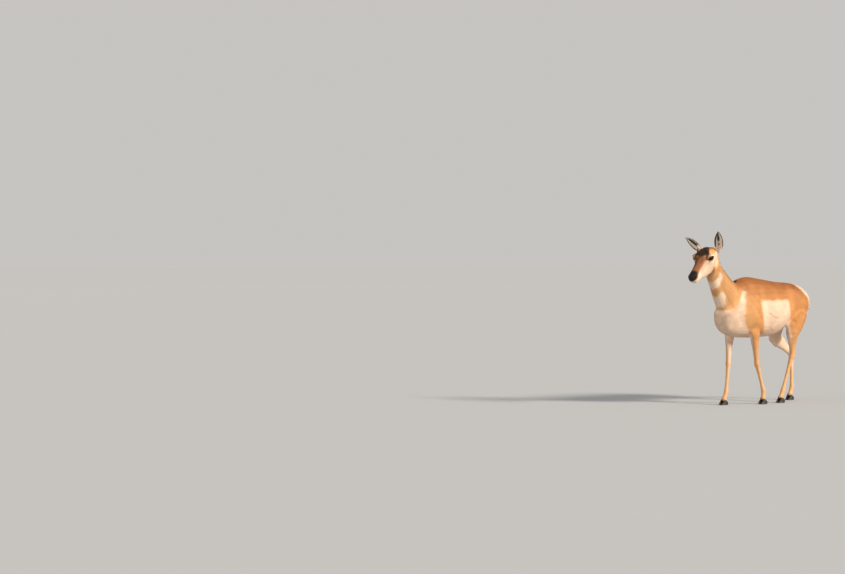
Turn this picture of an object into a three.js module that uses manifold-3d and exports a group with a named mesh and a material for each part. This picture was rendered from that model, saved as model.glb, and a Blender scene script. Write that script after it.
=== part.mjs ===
// A life-size pronghorn doe walking to her right-hand front corner of the frame, head up and turned a little to her left.
// Millimetres, +Z up. She faces -X and her left flank faces -Y. Each part is a closed solid that meets its
// neighbour with a clearance of GAP. The hooves stand on the plane Z = 0.
import * as THREE from "three";
import { mergeVertices } from "three/addons/utils/BufferGeometryUtils.js";
import Module from "manifold-3d";

const wasm = await Module();
wasm.setup();

// Driving sizes of the animal
const WITHERS_HEIGHT = 887;
const BREAST_FORWARD = 454; // breast and buttock, measured from the middle of the trunk
const BUTTOCK_BACK = 482;
const HEAD_LENGTH = 319;
const HEAD_PITCH = THREE.MathUtils.degToRad(35); // the face slopes down this much,
const HEAD_YAW = THREE.MathUtils.degToRad(9); // is turned this much to her left
const HEAD_ROLL = THREE.MathUtils.degToRad(1.5); // and leans this much to her left
const EAR_LENGTH = 146;
const EYE_RADIUS = 23;
const HORN_LENGTH = 31;
const TAIL_LENGTH = 150;
const GAP = 0.3;

// A place in the animal's own terms: forward of mid-trunk, to her left, and up from the ground
const at = (forward, left, up) => new THREE.Vector3(-forward, -left, up);
const LEFTWARD = at(0, 1, 0);
const UPWARD = at(0, 0, 1);

const COLOURS = {
  coat: new THREE.MeshStandardMaterial({ color: 0xd09a68, roughness: 0.85, metalness: 0 }),
  pale_coat: new THREE.MeshStandardMaterial({ color: 0xf3e2cb, roughness: 0.88, metalness: 0 }),
  eye: new THREE.MeshStandardMaterial({ color: 0x120b08, roughness: 0.06, metalness: 0 }),
  horn: new THREE.MeshStandardMaterial({ color: 0x17120f, roughness: 0.6, metalness: 0 }),
  hoof: new THREE.MeshStandardMaterial({ color: 0x1b1613, roughness: 0.45, metalness: 0 }),
};

// Turns a geometry into a solid that can be joined and cut. It has to be closed.
function solid(geometry) {
  const bare = new THREE.BufferGeometry();
  bare.setAttribute("position", geometry.getAttribute("position").clone());
  if (geometry.index) bare.setIndex(geometry.index.clone());
  const merged = mergeVertices(bare, 1e-3);
  const faces = new Uint32Array(merged.index.array);
  const build = () =>
    new wasm.Manifold(
      new wasm.Mesh({ numProp: 3, vertProperties: merged.attributes.position.array, triVerts: faces }),
    );
  const first = build();
  if (first.volume() > 0) return first;
  for (let i = 0; i < faces.length; i += 3) [faces[i + 1], faces[i + 2]] = [faces[i + 2], faces[i + 1]];
  return build();
}

// Keeps the largest closed body of a solid, once loose scraps are cut off
function largest(shape) {
  return shape.decompose().reduce((best, piece) => (piece.volume() > best.volume() ? piece : best));
}

function geometryOf(shape) {
  const mesh = shape.getMesh();
  const places = new Float32Array(mesh.numVert * 3);
  for (let i = 0; i < mesh.numVert; i++) {
    places.set(mesh.vertProperties.subarray(i * mesh.numProp, i * mesh.numProp + 3), i * 3);
  }
  const geometry = new THREE.BufferGeometry();
  geometry.setAttribute("position", new THREE.BufferAttribute(places, 3));
  geometry.setIndex(new THREE.BufferAttribute(new Uint32Array(mesh.triVerts), 1));
  geometry.computeVertexNormals();
  return geometry;
}

// A loft through sections. Each section has a centre, a half width, how far it reaches above and below the
// centre, and the squareness of its upper (crown) and lower (keel) half, where 2 is an ellipse.
// frameOf gives a section's side and upper direction; swellings raise the skin round a place.
const SHAPE_KEYS = ["half", "above", "below", "crown", "keel"];

function alongOf(sections) {
  const along = [0];
  for (let i = 1; i < sections.length; i++) {
    along.push(along[i - 1] + sections[i].centre.distanceTo(sections[i - 1].centre));
  }
  return along;
}

function sectionCurve(sections) {
  const along = alongOf(sections);
  const values = sections.flatMap((s) => [...s.centre.toArray(), ...SHAPE_KEYS.map((key) => s[key] ?? 2)]);
  const spline = new THREE.CubicInterpolant(along, values, 3 + SHAPE_KEYS.length);
  return (distance) => {
    const [x, y, z, ...shape] = spline.evaluate(distance);
    const found = { centre: new THREE.Vector3(x, y, z) };
    SHAPE_KEYS.forEach((key, i) => (found[key] = shape[i]));
    return found;
  };
}

// Section planes square to the centre line, with the side direction kept as level as sideHint
function squareTo(curve, length, sideHint) {
  return (distance) => {
    const step = 2;
    const ahead = curve(Math.min(distance + step, length)).centre;
    const behind = curve(Math.max(distance - step, 0)).centre;
    const tangent = ahead.sub(behind).normalize();
    const side = sideHint.clone().addScaledVector(tangent, -sideHint.dot(tangent)).normalize();
    return { side, up: new THREE.Vector3().crossVectors(tangent, side), tangent };
  };
}

const power = (value, exponent) => Math.sign(value) * Math.abs(value) ** exponent;

function rise(swellings, place) {
  return swellings.reduce((sum, { centre, reach, height }) => {
    const offset = place.clone().sub(centre);
    return sum + height * Math.exp(-offset.lengthSq() / (reach * reach));
  }, 0);
}

function ringPoint(section, frame, angle, grow, swellings) {
  const [c, s] = [Math.cos(angle), Math.sin(angle)];
  const squareness = s > 0 ? section.crown : section.keel;
  const reach = (s > 0 ? section.above : section.below) + grow;
  const out = new THREE.Vector3()
    .addScaledVector(frame.side, power(c, 2 / squareness) * (section.half + grow))
    .addScaledVector(frame.up, power(s, 2 / squareness) * reach);
  const place = section.centre.clone().add(out);
  return place.addScaledVector(out.normalize(), rise(swellings, place));
}

function loft(sections, { sides, cuts, frameOf, sideHint = LEFTWARD, grow = 0, swellings = [] }) {
  const along = alongOf(sections);
  const length = along.at(-1);
  const curve = sectionCurve(sections);
  const frames = frameOf ?? squareTo(curve, length, sideHint);
  const stops = along.slice(1).flatMap((end, i) =>
    Array.from({ length: cuts }, (_, k) => THREE.MathUtils.lerp(along[i], end, k / cuts)),
  );
  stops.push(length);
  const places = [];
  stops.forEach((distance, ring) => {
    const section = curve(distance);
    const frame = frames(distance);
    const end = ring === 0 ? -1 : ring === stops.length - 1 ? 1 : 0;
    section.centre.addScaledVector(frame.tangent, end * grow);
    for (let i = 0; i < sides; i++) {
      places.push(ringPoint(section, frame, (2 * Math.PI * i) / sides, grow, swellings));
    }
  });
  const faces = [];
  for (let ring = 0; ring + 1 < stops.length; ring++) {
    for (let i = 0; i < sides; i++) {
      const [a, b] = [ring * sides + i, ring * sides + ((i + 1) % sides)];
      faces.push(a, b, a + sides, b, b + sides, a + sides);
    }
  }
  [0, places.length - sides].forEach((start, last) => {
    const middle = new THREE.Vector3();
    for (let i = 0; i < sides; i++) middle.addScaledVector(places[start + i], 1 / sides);
    const hub = places.push(middle) - 1;
    for (let i = 0; i < sides; i++) {
      const [a, b] = [start + i, start + ((i + 1) % sides)];
      faces.push(...(last ? [a, b, hub] : [b, a, hub]));
    }
  });
  const geometry = new THREE.BufferGeometry().setFromPoints(places);
  geometry.setIndex(faces);
  return solid(geometry);
}

// Trunk, from the breast back to the buttocks, in upright sections. It holds the shoulders and the haunches.
const TRUNK_SECTIONS = [
  { forward: BREAST_FORWARD, top: 640, widest: 604, bottom: 568, half: 30 },
  { forward: 440, top: 676, widest: 606, bottom: 532, half: 62 },
  { forward: 410, top: 732, widest: 612, bottom: 504, half: 84 },
  { forward: 360, top: 802, widest: 622, bottom: 482, half: 103, crown: 1.9 },
  { forward: 290, top: 860, widest: 636, bottom: 470, half: 119, crown: 1.75 },
  { forward: 215, top: 883, widest: 642, bottom: 466, half: 128, crown: 1.6 },
  { forward: 150, top: WITHERS_HEIGHT, widest: 646, bottom: 464, half: 135, crown: 1.62 },
  { forward: 60, top: 877, widest: 648, bottom: 463, half: 145, crown: 1.8 },
  { forward: -40, top: 863, widest: 650, bottom: 467, half: 152, crown: 2 },
  { forward: -130, top: 851, widest: 656, bottom: 486, half: 147, crown: 2.1 },
  { forward: -215, top: 844, widest: 676, bottom: 532, half: 128, crown: 2.1 },
  { forward: -290, top: 839, widest: 694, bottom: 560, half: 125, crown: 2.1 },
  { forward: -360, top: 825, widest: 694, bottom: 572, half: 122, crown: 2.1 },
  { forward: -420, top: 796, widest: 690, bottom: 600, half: 106, crown: 2.1 },
  { forward: -460, top: 754, widest: 684, bottom: 626, half: 78 },
  { forward: -BUTTOCK_BACK, top: 712, widest: 678, bottom: 646, half: 38 },
];

const bothSides = (make) => [1, -1].map(make);

const TRUNK_SWELLINGS = bothSides((side) => [
  { centre: at(300, 112 * side, 640), reach: 62, height: 9 }, // point of the shoulder
  { centre: at(215, 118 * side, 735), reach: 60, height: 6 }, // shoulder blade
  { centre: at(205, 122 * side, 560), reach: 58, height: 7 }, // upper arm
  { centre: at(128, 140 * side, 660), reach: 42, height: -5 }, // hollow behind the shoulder
  { centre: at(-208, 120 * side, 742), reach: 46, height: -7 }, // hollow of the flank
  { centre: at(-262, 92 * side, 808), reach: 34, height: 7 }, // point of the hip
  { centre: at(-335, 112 * side, 690), reach: 72, height: 9 }, // haunch
]).flat();

function trunk(grow = 0) {
  const sections = TRUNK_SECTIONS.map((s) => ({
    centre: at(s.forward, 0, s.widest),
    half: s.half,
    above: s.top - s.widest,
    below: s.widest - s.bottom,
    crown: s.crown,
    keel: s.keel,
  }));
  const upright = { side: LEFTWARD, up: UPWARD, tangent: at(-1, 0, 0) };
  return loft(sections, { sides: 32, cuts: 2, frameOf: () => upright, grow, swellings: TRUNK_SWELLINGS });
}

// Neck, from inside the trunk up to inside the back of the head
const NECK_SECTIONS = [
  { centre: at(296, 0, 694), half: 94, above: 122, below: 156 },
  { centre: at(352, 2, 756), half: 82, above: 102, below: 143 },
  { centre: at(412, 4, 818), half: 70, above: 82, below: 123, crown: 1.9 },
  { centre: at(468, 7, 882), half: 60, above: 64, below: 104, crown: 1.8 },
  { centre: at(514, 9, 936), half: 54, above: 53, below: 89, crown: 1.8 },
  { centre: at(545, 11, 988), half: 50, above: 49, below: 72, crown: 1.9 },
  { centre: at(560, 12, 1032), half: 49, above: 52, below: 56 },
  { centre: at(567, 13, 1066), half: 43, above: 45, below: 38 },
  { centre: at(571, 14, 1086), half: 31, above: 30, below: 26 },
  { centre: at(573, 14, 1094), half: 14, above: 13, below: 12 },
];

// The mane: short flat locks on the nape, from behind the ears to the withers, each lying back over the next
const MANE_LOCKS = 26;
const MANE_LOCK_LENGTH = 46;
const MANE_LOCK_WIDTH = 7;

const neckCurve = sectionCurve(NECK_SECTIONS);
const neckLength = alongOf(NECK_SECTIONS).at(-1);
const neckFrame = squareTo(neckCurve, neckLength, LEFTWARD);

// Repeatable draws between 0 and 1
function drawer(seed) {
  let state = seed;
  return () => {
    state = (state * 1664525 + 1013904223) % 4294967296;
    return state / 4294967296;
  };
}

// A flat tapered lock from root, leaning from the outward direction over to the lying direction
function lock(root, outward, lying, { length, width, thickness, lift }) {
  const steps = [0, 0.3, 0.65, 1];
  const sections = steps.map((t) => {
    const height = lift * Math.sin(Math.min(1, t * 1.25) * Math.PI * 0.5) - 5 * (1 - t);
    const taper = [0.9, 1, 0.72, 0.12][steps.indexOf(t)];
    return {
      centre: root.clone().addScaledVector(lying, length * t).addScaledVector(outward, height),
      half: width * taper,
      above: thickness * taper,
      below: thickness * taper,
    };
  });
  return loft(sections, { sides: 5, cuts: 1, sideHint: new THREE.Vector3().crossVectors(outward, lying) });
}

function maneLocks() {
  const draw = drawer(7);
  return Array.from({ length: MANE_LOCKS }, (_, i) => {
    const share = i / (MANE_LOCKS - 1);
    const distance = THREE.MathUtils.lerp(neckLength * 0.84, neckLength * 0.15, share);
    const frame = neckFrame(distance);
    const angle = Math.PI / 2 + (i % 2 ? 1 : -1) * (0.05 + 0.07 * draw());
    const root = ringPoint(neckCurve(distance), frame, angle, -4, []);
    const lying = frame.tangent.clone().multiplyScalar(-1).addScaledVector(frame.side, 0.2 * (draw() - 0.5));
    return lock(root, frame.up, lying.normalize(), {
      length: MANE_LOCK_LENGTH * (0.85 + 0.3 * draw()),
      width: MANE_LOCK_WIDTH,
      thickness: 3,
      lift: 11 + 4 * draw(),
    });
  });
}

// Head. Its own frame: along the face from the poll to the nose, to her left, and out of the forehead.
const straightHead = new THREE.Matrix4().makeBasis(at(1, 0, 0), at(0, 1, 0), at(0, 0, 1));
const headTurn = new THREE.Matrix4()
  .makeRotationZ(HEAD_YAW)
  .multiply(new THREE.Matrix4().makeRotationY(HEAD_PITCH))
  .multiply(new THREE.Matrix4().makeRotationX(-HEAD_ROLL));
const headMatrix = straightHead.multiply(headTurn).setPosition(at(564, 12, 1055));
const inHead = (along, left, out) => new THREE.Vector3(along, left, out).applyMatrix4(headMatrix);
const headWay = (along, left, out) => new THREE.Vector3(along, left, out).transformDirection(headMatrix);

const HEAD_SECTIONS = [
  { along: -4, above: 27, below: 27, half: 29 },
  { along: 6, above: 46, below: 48, half: 47 },
  { along: 33, above: 62, below: 76, half: 58, crown: 2.1, keel: 1.8 },
  { along: 68, above: 71, below: 95, half: 62, crown: 2.3, keel: 1.65 },
  { along: 105, above: 66, below: 102, half: 59, crown: 2.5, keel: 1.55 },
  { along: 138, above: 55, below: 98, half: 51, crown: 2.5, keel: 1.55 },
  { along: 171, above: 45, below: 86, half: 43, crown: 2.4, keel: 1.6 },
  { along: 210, above: 38, below: 68, half: 37, crown: 2.3, keel: 1.75 },
  { along: 248, above: 34, below: 54, half: 33, crown: 2.3, keel: 1.9 },
  { along: 276, above: 32, below: 46, half: 31, crown: 2.3, keel: 2 },
  { along: 298, above: 28, below: 37, half: 28, crown: 2.2, keel: 2.1 },
  { along: 311, above: 21, below: 21, half: 21 },
  { along: HEAD_LENGTH, above: 9, below: 8, half: 10 },
];

const EYE_PLACE = (side) => [103, 53 * side, 36];
const EYE_WAY = (side) => headWay(0.66, side, 0.14).normalize();

const HEAD_SWELLINGS = bothSides((side) => [
  { centre: inHead(104, 67 * side, 36), reach: 37, height: 12 }, // socket of the eye
  { centre: inHead(95, 59 * side, 62), reach: 21, height: 5 }, // brow
  { centre: inHead(118, 60 * side, 6), reach: 22, height: 4 }, // cheek bone
  { centre: inHead(86, 48 * side, -46), reach: 38, height: 4 }, // jaw muscle
  { centre: inHead(165, 42 * side, 12), reach: 22, height: -3 }, // hollow before the eye
  { centre: inHead(290, 30 * side, 8), reach: 15, height: 4 }, // wing of the nostril
  { centre: inHead(280, 28 * side, -14), reach: 14, height: 2.5 }, // upper lip
  { centre: inHead(86, 34 * side, 70), reach: 21, height: 5 }, // bone under the horn
  { centre: inHead(13, 61 * side, 26), reach: 28, height: 13 }, // root of the ear
])
  .flat()
  .concat([
    { centre: inHead(286, 0, -38), reach: 19, height: 4 }, // chin
    { centre: inHead(54, 0, 71), reach: 34, height: 3 }, // crown
  ]);

const headSections = HEAD_SECTIONS.map((s) => ({ ...s, centre: inHead(s.along, 0, 0) }));
const headFrame = { side: headWay(0, 1, 0), up: headWay(0, 0, 1), tangent: headWay(1, 0, 0) };

function headCore(grow = 0) {
  return loft(headSections, { sides: 26, cuts: 2, frameOf: () => headFrame, grow, swellings: HEAD_SWELLINGS });
}

const headCurve = sectionCurve(headSections);
const onHead = (along, angle, grow) =>
  ringPoint(headCurve(along - HEAD_SECTIONS[0].along), headFrame, angle, grow, HEAD_SWELLINGS);

function ball(radius, centre, across = 16, down = 11) {
  const geometry = new THREE.SphereGeometry(radius, across, down);
  geometry.translate(...centre.toArray());
  return solid(geometry);
}

// A basis whose Z runs along way and whose X runs as near as it can along hint
function facing(way, hint, origin) {
  const z = way.clone().normalize();
  const y = new THREE.Vector3().crossVectors(z, hint).normalize();
  const x = new THREE.Vector3().crossVectors(y, z);
  return new THREE.Matrix4().makeBasis(x, y, z).setPosition(origin);
}

// The lids are a shell round the eyeball, opened by an almond of these half sizes
const LID_THICKNESS = 3;
const LID_OPENING = { half: 21.5, upper: 16, lower: 13.5 };

function lidOpening(side) {
  const { half, upper, lower } = LID_OPENING;
  const outline = new THREE.Shape();
  outline.moveTo(-half, -2);
  outline.quadraticCurveTo(-half * 0.55, upper * 1.32, half * 0.12, upper * 1.02);
  outline.quadraticCurveTo(half * 0.8, upper * 0.8, half, 1);
  outline.quadraticCurveTo(half * 0.6, -lower * 1.3, -half * 0.2, -lower);
  outline.quadraticCurveTo(-half * 0.75, -lower * 0.85, -half, -2);
  const depth = 40;
  const geometry = new THREE.ExtrudeGeometry(outline, { depth, bevelEnabled: false, curveSegments: 4 });
  geometry.applyMatrix4(facing(EYE_WAY(side), headWay(-1, 0, 0), inHead(...EYE_PLACE(side))));
  return solid(geometry);
}

function nostril(side) {
  const place = onHead(301, side > 0 ? 0.5 : Math.PI - 0.5, -1.5);
  const geometry = new THREE.SphereGeometry(1, 12, 8);
  geometry.scale(4.2, 9.5, 10);
  geometry.applyMatrix4(facing(headWay(0.75, side, 0.25), headWay(0.5, 0, 1), place));
  return solid(geometry);
}

// The line of the mouth: a groove round the muzzle from one corner of the lips to the other
function mouth() {
  const route = [];
  const corner = 238;
  const front = 312;
  for (let i = -8; i <= 8; i++) {
    const share = Math.abs(i) / 8;
    const along = THREE.MathUtils.lerp(front, corner, share ** 1.4);
    const below = THREE.MathUtils.lerp(0.62, 0.36, share);
    route.push(onHead(along, i >= 0 ? -below - (1 - share) * 0.95 : Math.PI + below + (1 - share) * 0.95, -0.4));
  }
  const path = new THREE.CatmullRomCurve3(route);
  const section = new THREE.Shape().absarc(0, 0, 1.7, 0, 2 * Math.PI);
  return solid(
    new THREE.ExtrudeGeometry(section, { steps: 26, extrudePath: path, curveSegments: 3, bevelEnabled: false }),
  );
}

function head() {
  let shape = headCore();
  const sockets = bothSides((side) => {
    const centre = inHead(...EYE_PLACE(side));
    shape = shape.add(ball(EYE_RADIUS + LID_THICKNESS, centre));
    return ball(EYE_RADIUS + GAP, centre).add(lidOpening(side));
  });
  const cuts = [...sockets, nostril(1), nostril(-1), mouth()];
  return largest(cuts.reduce((rest, cut) => rest.subtract(cut), shape));
}

// Ears: a leaf-shaped cup on a rolled root. half is across, back and front its reach either side of the axis.
const EAR_SECTIONS = [
  { share: 0, half: 11, back: 11, front: 10 },
  { share: 0.14, half: 19, back: 17, front: 16 },
  { share: 0.28, half: 26, back: 19, front: 13 },
  { share: 0.48, half: 30, back: 18, front: 8 },
  { share: 0.68, half: 27, back: 15, front: 5 },
  { share: 0.84, half: 18, back: 10, front: 4 },
  { share: 0.95, half: 8, back: 5, front: 3 },
  { share: 1, half: 2, back: 2, front: 2 },
];
const EAR_WALL = 3.2;
const EARS = {
  left: { root: [3, 72, 22], way: at(0.2, 0.12, 0.97), opening: at(0.86, 0.5, 0) },
  right: { root: [16, -69, 34], way: at(0.06, -0.82, 0.66), opening: at(0.9, 0.06, -0.4) },
};

function ear({ root, way, opening }) {
  const axis = way.clone().normalize();
  const front = opening.clone().addScaledVector(axis, -opening.dot(axis)).normalize();
  const across = new THREE.Vector3().crossVectors(axis, front);
  const base = inHead(...root);
  const place = (share) =>
    base
      .clone()
      .addScaledVector(axis, (EAR_LENGTH + 8) * share - 20)
      .addScaledVector(front, 9 * share * share);
  const frameOf = () => ({ side: across, up: front, tangent: axis });
  const leaf = EAR_SECTIONS.map((s) => ({
    centre: place(s.share),
    half: s.half,
    above: s.front,
    below: s.back,
  }));
  const hollow = EAR_SECTIONS.slice(1, -1).map((s, i) => ({
    centre: place(s.share),
    half: Math.max(2, s.half - EAR_WALL) * (i === 0 ? 0.55 : 1),
    above: s.front + (i === 0 ? -8 : 14),
    below: Math.max(1.6, s.back - EAR_WALL) * (i === 0 ? 0.5 : 1),
  }));
  const cup = loft(leaf, { sides: 18, cuts: 2, frameOf });
  return cup.subtract(loft(hollow, { sides: 16, cuts: 2, frameOf }));
}

// Horns: short black nubs over the eyes
function horn(side, grow = 0) {
  const points = [];
  const rings = 5;
  for (let i = 0; i <= rings; i++) {
    const share = i / rings;
    points.push(new THREE.Vector2((9.5 + grow) * Math.cos(share * Math.PI * 0.5) ** 0.7, (HORN_LENGTH + grow) * share));
  }
  points[rings].x = 0;
  const geometry = new THREE.LatheGeometry([new THREE.Vector2(0, 0), ...points], 12);
  geometry.rotateX(Math.PI / 2);
  const way = headWay(-0.5, 0.2 * side, 0.85);
  geometry.applyMatrix4(facing(way, headWay(1, 0, 0), inHead(87, 38 * side, 62)));
  return solid(geometry);
}

// Legs. Joints are places; the flesh between them is given by sections at shares of each bone.
const HOOF_TOP = 40;
const PASTERN_SECTIONS = [
  { bone: "pastern", share: 0.5, half: 15, fore: 14, aft: 15 },
  { bone: "pastern", share: 0.85, half: 20, fore: 18, aft: 18 },
  { bone: "pastern", share: 1.25, half: 24, fore: 20, aft: 21 },
];
const CANNON_SECTIONS = [
  { bone: "cannon", share: 0.14, half: 15, fore: 15, aft: 18 },
  { bone: "cannon", share: 0.5, half: 11.8, fore: 12, aft: 14.5 },
  { bone: "cannon", share: 0.85, half: 12.5, fore: 12.5, aft: 15.5 },
  { bone: "pastern", share: 0, half: 17, fore: 16, aft: 19 },
  ...PASTERN_SECTIONS,
];
const FORELEG_SECTIONS = [
  { bone: "arm", share: 0.1, half: 20, fore: 34, aft: 34 },
  { bone: "arm", share: 0.6, half: 28, fore: 44, aft: 56 },
  { bone: "forearm", share: 0.05, half: 31, fore: 41, aft: 55 },
  { bone: "forearm", share: 0.3, half: 26, fore: 32, aft: 35 },
  { bone: "forearm", share: 0.62, half: 19.5, fore: 22, aft: 21 },
  { bone: "forearm", share: 0.88, half: 17.5, fore: 18, aft: 17 },
  { bone: "cannon", share: 0, half: 19.5, fore: 20, aft: 19 },
  ...CANNON_SECTIONS,
];
const HINDLEG_SECTIONS = [
  { bone: "thigh", share: -0.15, half: 40, fore: 88, aft: 96 },
  { bone: "thigh", share: 0.3, half: 49, fore: 86, aft: 112 },
  { bone: "thigh", share: 0.7, half: 46, fore: 77, aft: 98 },
  { bone: "gaskin", share: 0.06, half: 37, fore: 61, aft: 70 },
  { bone: "gaskin", share: 0.36, half: 28, fore: 43, aft: 50 },
  { bone: "gaskin", share: 0.7, half: 19, fore: 24, aft: 34 },
  { bone: "gaskin", share: 0.94, half: 18, fore: 20, aft: 34 },
  { bone: "cannon", share: 0.04, half: 18.5, fore: 20, aft: 27 },
  ...CANNON_SECTIONS.map((s, i) => (i === 0 ? { ...s, half: 16, fore: 16, aft: 21 } : s)),
];

// The far hind leg is bent, so the flesh behind its stifle is drawn in
const inCrook = ({ bone, share }) => (bone === "thigh" && share > 0.5) || (bone === "gaskin" && share < 0.2);
const BENT_HINDLEG_SECTIONS = HINDLEG_SECTIONS.map((s) => (inCrook(s) ? { ...s, aft: s.aft * 0.72 } : s));

// side is 1 on her left; the near legs (left) draw together and the far ones (right) reach apart, as in a walk
const LEGS = {
  foreleg_left: {
    side: 1,
    sections: FORELEG_SECTIONS,
    joints: {
      arm: at(235, 62, 596),
      forearm: at(176, 82, 506),
      cannon: at(132, 73, 282),
      pastern: at(52, 68, 86),
      toe: at(60, 68, 26),
    },
  },
  foreleg_right: {
    side: -1,
    sections: FORELEG_SECTIONS,
    joints: {
      arm: at(275, -62, 596),
      forearm: at(238, -82, 510),
      cannon: at(266, -72, 284),
      pastern: at(297, -66, 86),
      toe: at(326, -66, 26),
    },
  },
  hindleg_left: {
    side: 1,
    sections: HINDLEG_SECTIONS,
    joints: {
      thigh: at(-330, 76, 700),
      gaskin: at(-246, 92, 500),
      cannon: at(-262, 74, 328),
      pastern: at(-168, 68, 86),
      toe: at(-138, 68, 26),
    },
  },
  hindleg_right: {
    side: -1,
    sections: BENT_HINDLEG_SECTIONS,
    joints: {
      thigh: at(-330, -76, 700),
      gaskin: at(-276, -92, 458),
      cannon: at(-452, -74, 322),
      pastern: at(-446, -66, 90),
      toe: at(-418, -66, 26),
    },
  },
};

function legSections({ sections, joints }) {
  const names = Object.keys(joints);
  return sections.map((s) => {
    const next = joints[names[names.indexOf(s.bone) + 1]];
    const centre = joints[s.bone].clone().lerp(next, s.share);
    return { centre, half: s.half, above: s.fore, below: s.aft };
  });
}

// A claw of the cloven hoof, standing flat, its wall sloping back to the coronet
const CLAW_SECTIONS = [
  { up: 0, shift: 0, half: 12.2, fore: 37, aft: 28 },
  { up: 5, shift: -2, half: 12.6, fore: 36, aft: 28.5 },
  { up: 20, shift: -9, half: 12, fore: 28, aft: 24 },
  { up: 38, shift: -17, half: 10.2, fore: 21, aft: 16 },
  { up: 52, shift: -23, half: 9, fore: 16, aft: 11 },
];
const CLAW_SPREAD = 14.2;
const SPLAY = THREE.MathUtils.degToRad(3);

// The coronet is a sloping cut: the claws are kept below it and the leg above it
const CORONET_WAY = at(-0.3, 0, 1).normalize();

function claw(toe, inner, length) {
  const turn = new THREE.Vector3(0, 0, 1);
  const sections = CLAW_SECTIONS.map((s) => ({
    centre: at(s.shift, 0, s.up),
    half: s.half,
    above: s.fore * length,
    below: s.aft * length,
    crown: 1.55,
    keel: 2.3,
  }));
  const frame = { side: LEFTWARD, up: at(1, 0, 0), tangent: UPWARD };
  const shape = loft(sections, { sides: 14, cuts: 1, frameOf: () => frame });
  const placing = new THREE.Matrix4()
    .makeRotationAxis(turn, -inner * SPLAY)
    .setPosition(at(-toe.x, -toe.y + inner * CLAW_SPREAD, 0));
  return shape.transform(placing.toArray());
}

function foot(name) {
  const { joints, sections } = LEGS[name];
  const isFore = sections === FORELEG_SECTIONS;
  const toe = joints.toe.clone().add(at(isFore ? 2 : 0, 0, 0));
  const middle = at(-toe.x, -toe.y, HOOF_TOP - 4);
  const level = middle.dot(CORONET_WAY);
  const down = CORONET_WAY.clone().multiplyScalar(-1).toArray();
  const flesh = loft(legSections(LEGS[name]), { sides: 16, cuts: 2 });
  return {
    leg: flesh.trimByPlane(CORONET_WAY.toArray(), level + GAP / 2),
    claws: { inner: -1, outer: 1 },
    clawOf: (inner) => claw(toe, inner, isFore ? 1 : 0.93).trimByPlane(down, -(level - GAP / 2)),
  };
}

// Tail: a short flat brush hanging from the top of the rump, with locks along its edges
const TAIL_SECTIONS = [
  { back: -428, up: 772, half: 16, thick: 13 },
  { back: -462, up: 756, half: 21, thick: 13 },
  { back: -486, up: 728, half: 24, thick: 13 },
  { back: -497, up: 694, half: 23, thick: 12 },
  { back: -501, up: 660, half: 17, thick: 9 },
  { back: -502, up: 638, half: 8, thick: 5 },
];

function tail() {
  const draw = drawer(23);
  const sections = TAIL_SECTIONS.map((s) => ({
    centre: at(s.back, 0, s.up),
    half: s.half,
    above: s.thick,
    below: s.thick,
  }));
  let brush = loft(sections, { sides: 12, cuts: 2 });
  const count = 11;
  for (let i = 0; i < count; i++) {
    const spread = (i / (count - 1) - 0.5) * 2;
    const root = at(-495 - 3 * draw(), 15 * spread, 688 - 12 * Math.abs(spread) * draw());
    const lying = at(-0.06, 0.22 * spread, -1).normalize();
    const length = TAIL_LENGTH * (0.45 - 0.1 * Math.abs(spread)) * (0.9 + 0.2 * draw());
    brush = brush.add(lock(root, at(-1, 0, 0), lying, { length, width: 6, thickness: 3, lift: 2 }));
  }
  return brush;
}

// Everything is cut clear of what carries it
const trunkRoom = trunk(GAP);
const headRoom = headCore(GAP);
const neckSolid = [loft(NECK_SECTIONS, { sides: 26, cuts: 2 }), ...maneLocks()].reduce((sum, s) => sum.add(s));
const neck = largest(neckSolid.subtract(trunkRoom).subtract(headRoom));
const neckRoom = loft(NECK_SECTIONS, { sides: 26, cuts: 2, grow: GAP });
const horns = bothSides((side) => largest(horn(side).subtract(headRoom)));

const animal = new THREE.Group();

// Adds a solid as a named mesh, placed at its own root
function place(parent, name, shape, material, root) {
  const mesh = new THREE.Mesh(geometryOf(shape), COLOURS[material]);
  mesh.geometry.translate(-root.x, -root.y, -root.z);
  mesh.name = name;
  mesh.position.copy(root);
  parent.add(mesh);
}

place(animal, "torso", trunk(), "coat", at(0, 0, 650));
place(animal, "tail", largest(tail().subtract(trunkRoom)), "pale_coat", at(-430, 0, 760));
place(animal, "neck", neck, "coat", at(300, 0, 690));

const headGroup = new THREE.Group();
animal.add(headGroup);
place(headGroup, "head", head(), "coat", inHead(0, 0, 0));
["left", "right"].forEach((hand, i) => {
  const side = i ? -1 : 1;
  const cup = ear(EARS[hand]).subtract(headRoom).subtract(neckRoom);
  place(headGroup, `ear_${hand}`, largest(cup), "pale_coat", inHead(...EARS[hand].root));
  place(headGroup, `eye_${hand}`, ball(EYE_RADIUS, inHead(...EYE_PLACE(side))), "eye", inHead(...EYE_PLACE(side)));
  place(headGroup, `horn_${hand}`, horns[i], "horn", inHead(87, 38 * side, 62));
});

Object.keys(LEGS).forEach((name) => {
  const { leg, claws, clawOf } = foot(name);
  const { joints } = LEGS[name];
  const legGroup = new THREE.Group();
  animal.add(legGroup);
  place(legGroup, name, largest(leg.subtract(trunkRoom)), "coat", joints[Object.keys(joints)[0]]);
  Object.entries(claws).forEach(([which, inner]) => {
    place(legGroup, `hoof_${name}_${which}`, clawOf(inner * LEGS[name].side), "hoof", joints.toe);
  });
});

// The frame's origin is under the middle of the whole animal's box
const box = new THREE.Box3().setFromObject(animal);
const middle = box.getCenter(new THREE.Vector3());
animal.position.set(-middle.x, -middle.y, -box.min.z);

export default animal;
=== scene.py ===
import math

import bmesh
import bpy
import numpy as np
from mathutils import Matrix, Vector
from mathutils.bvhtree import BVHTree


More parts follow.
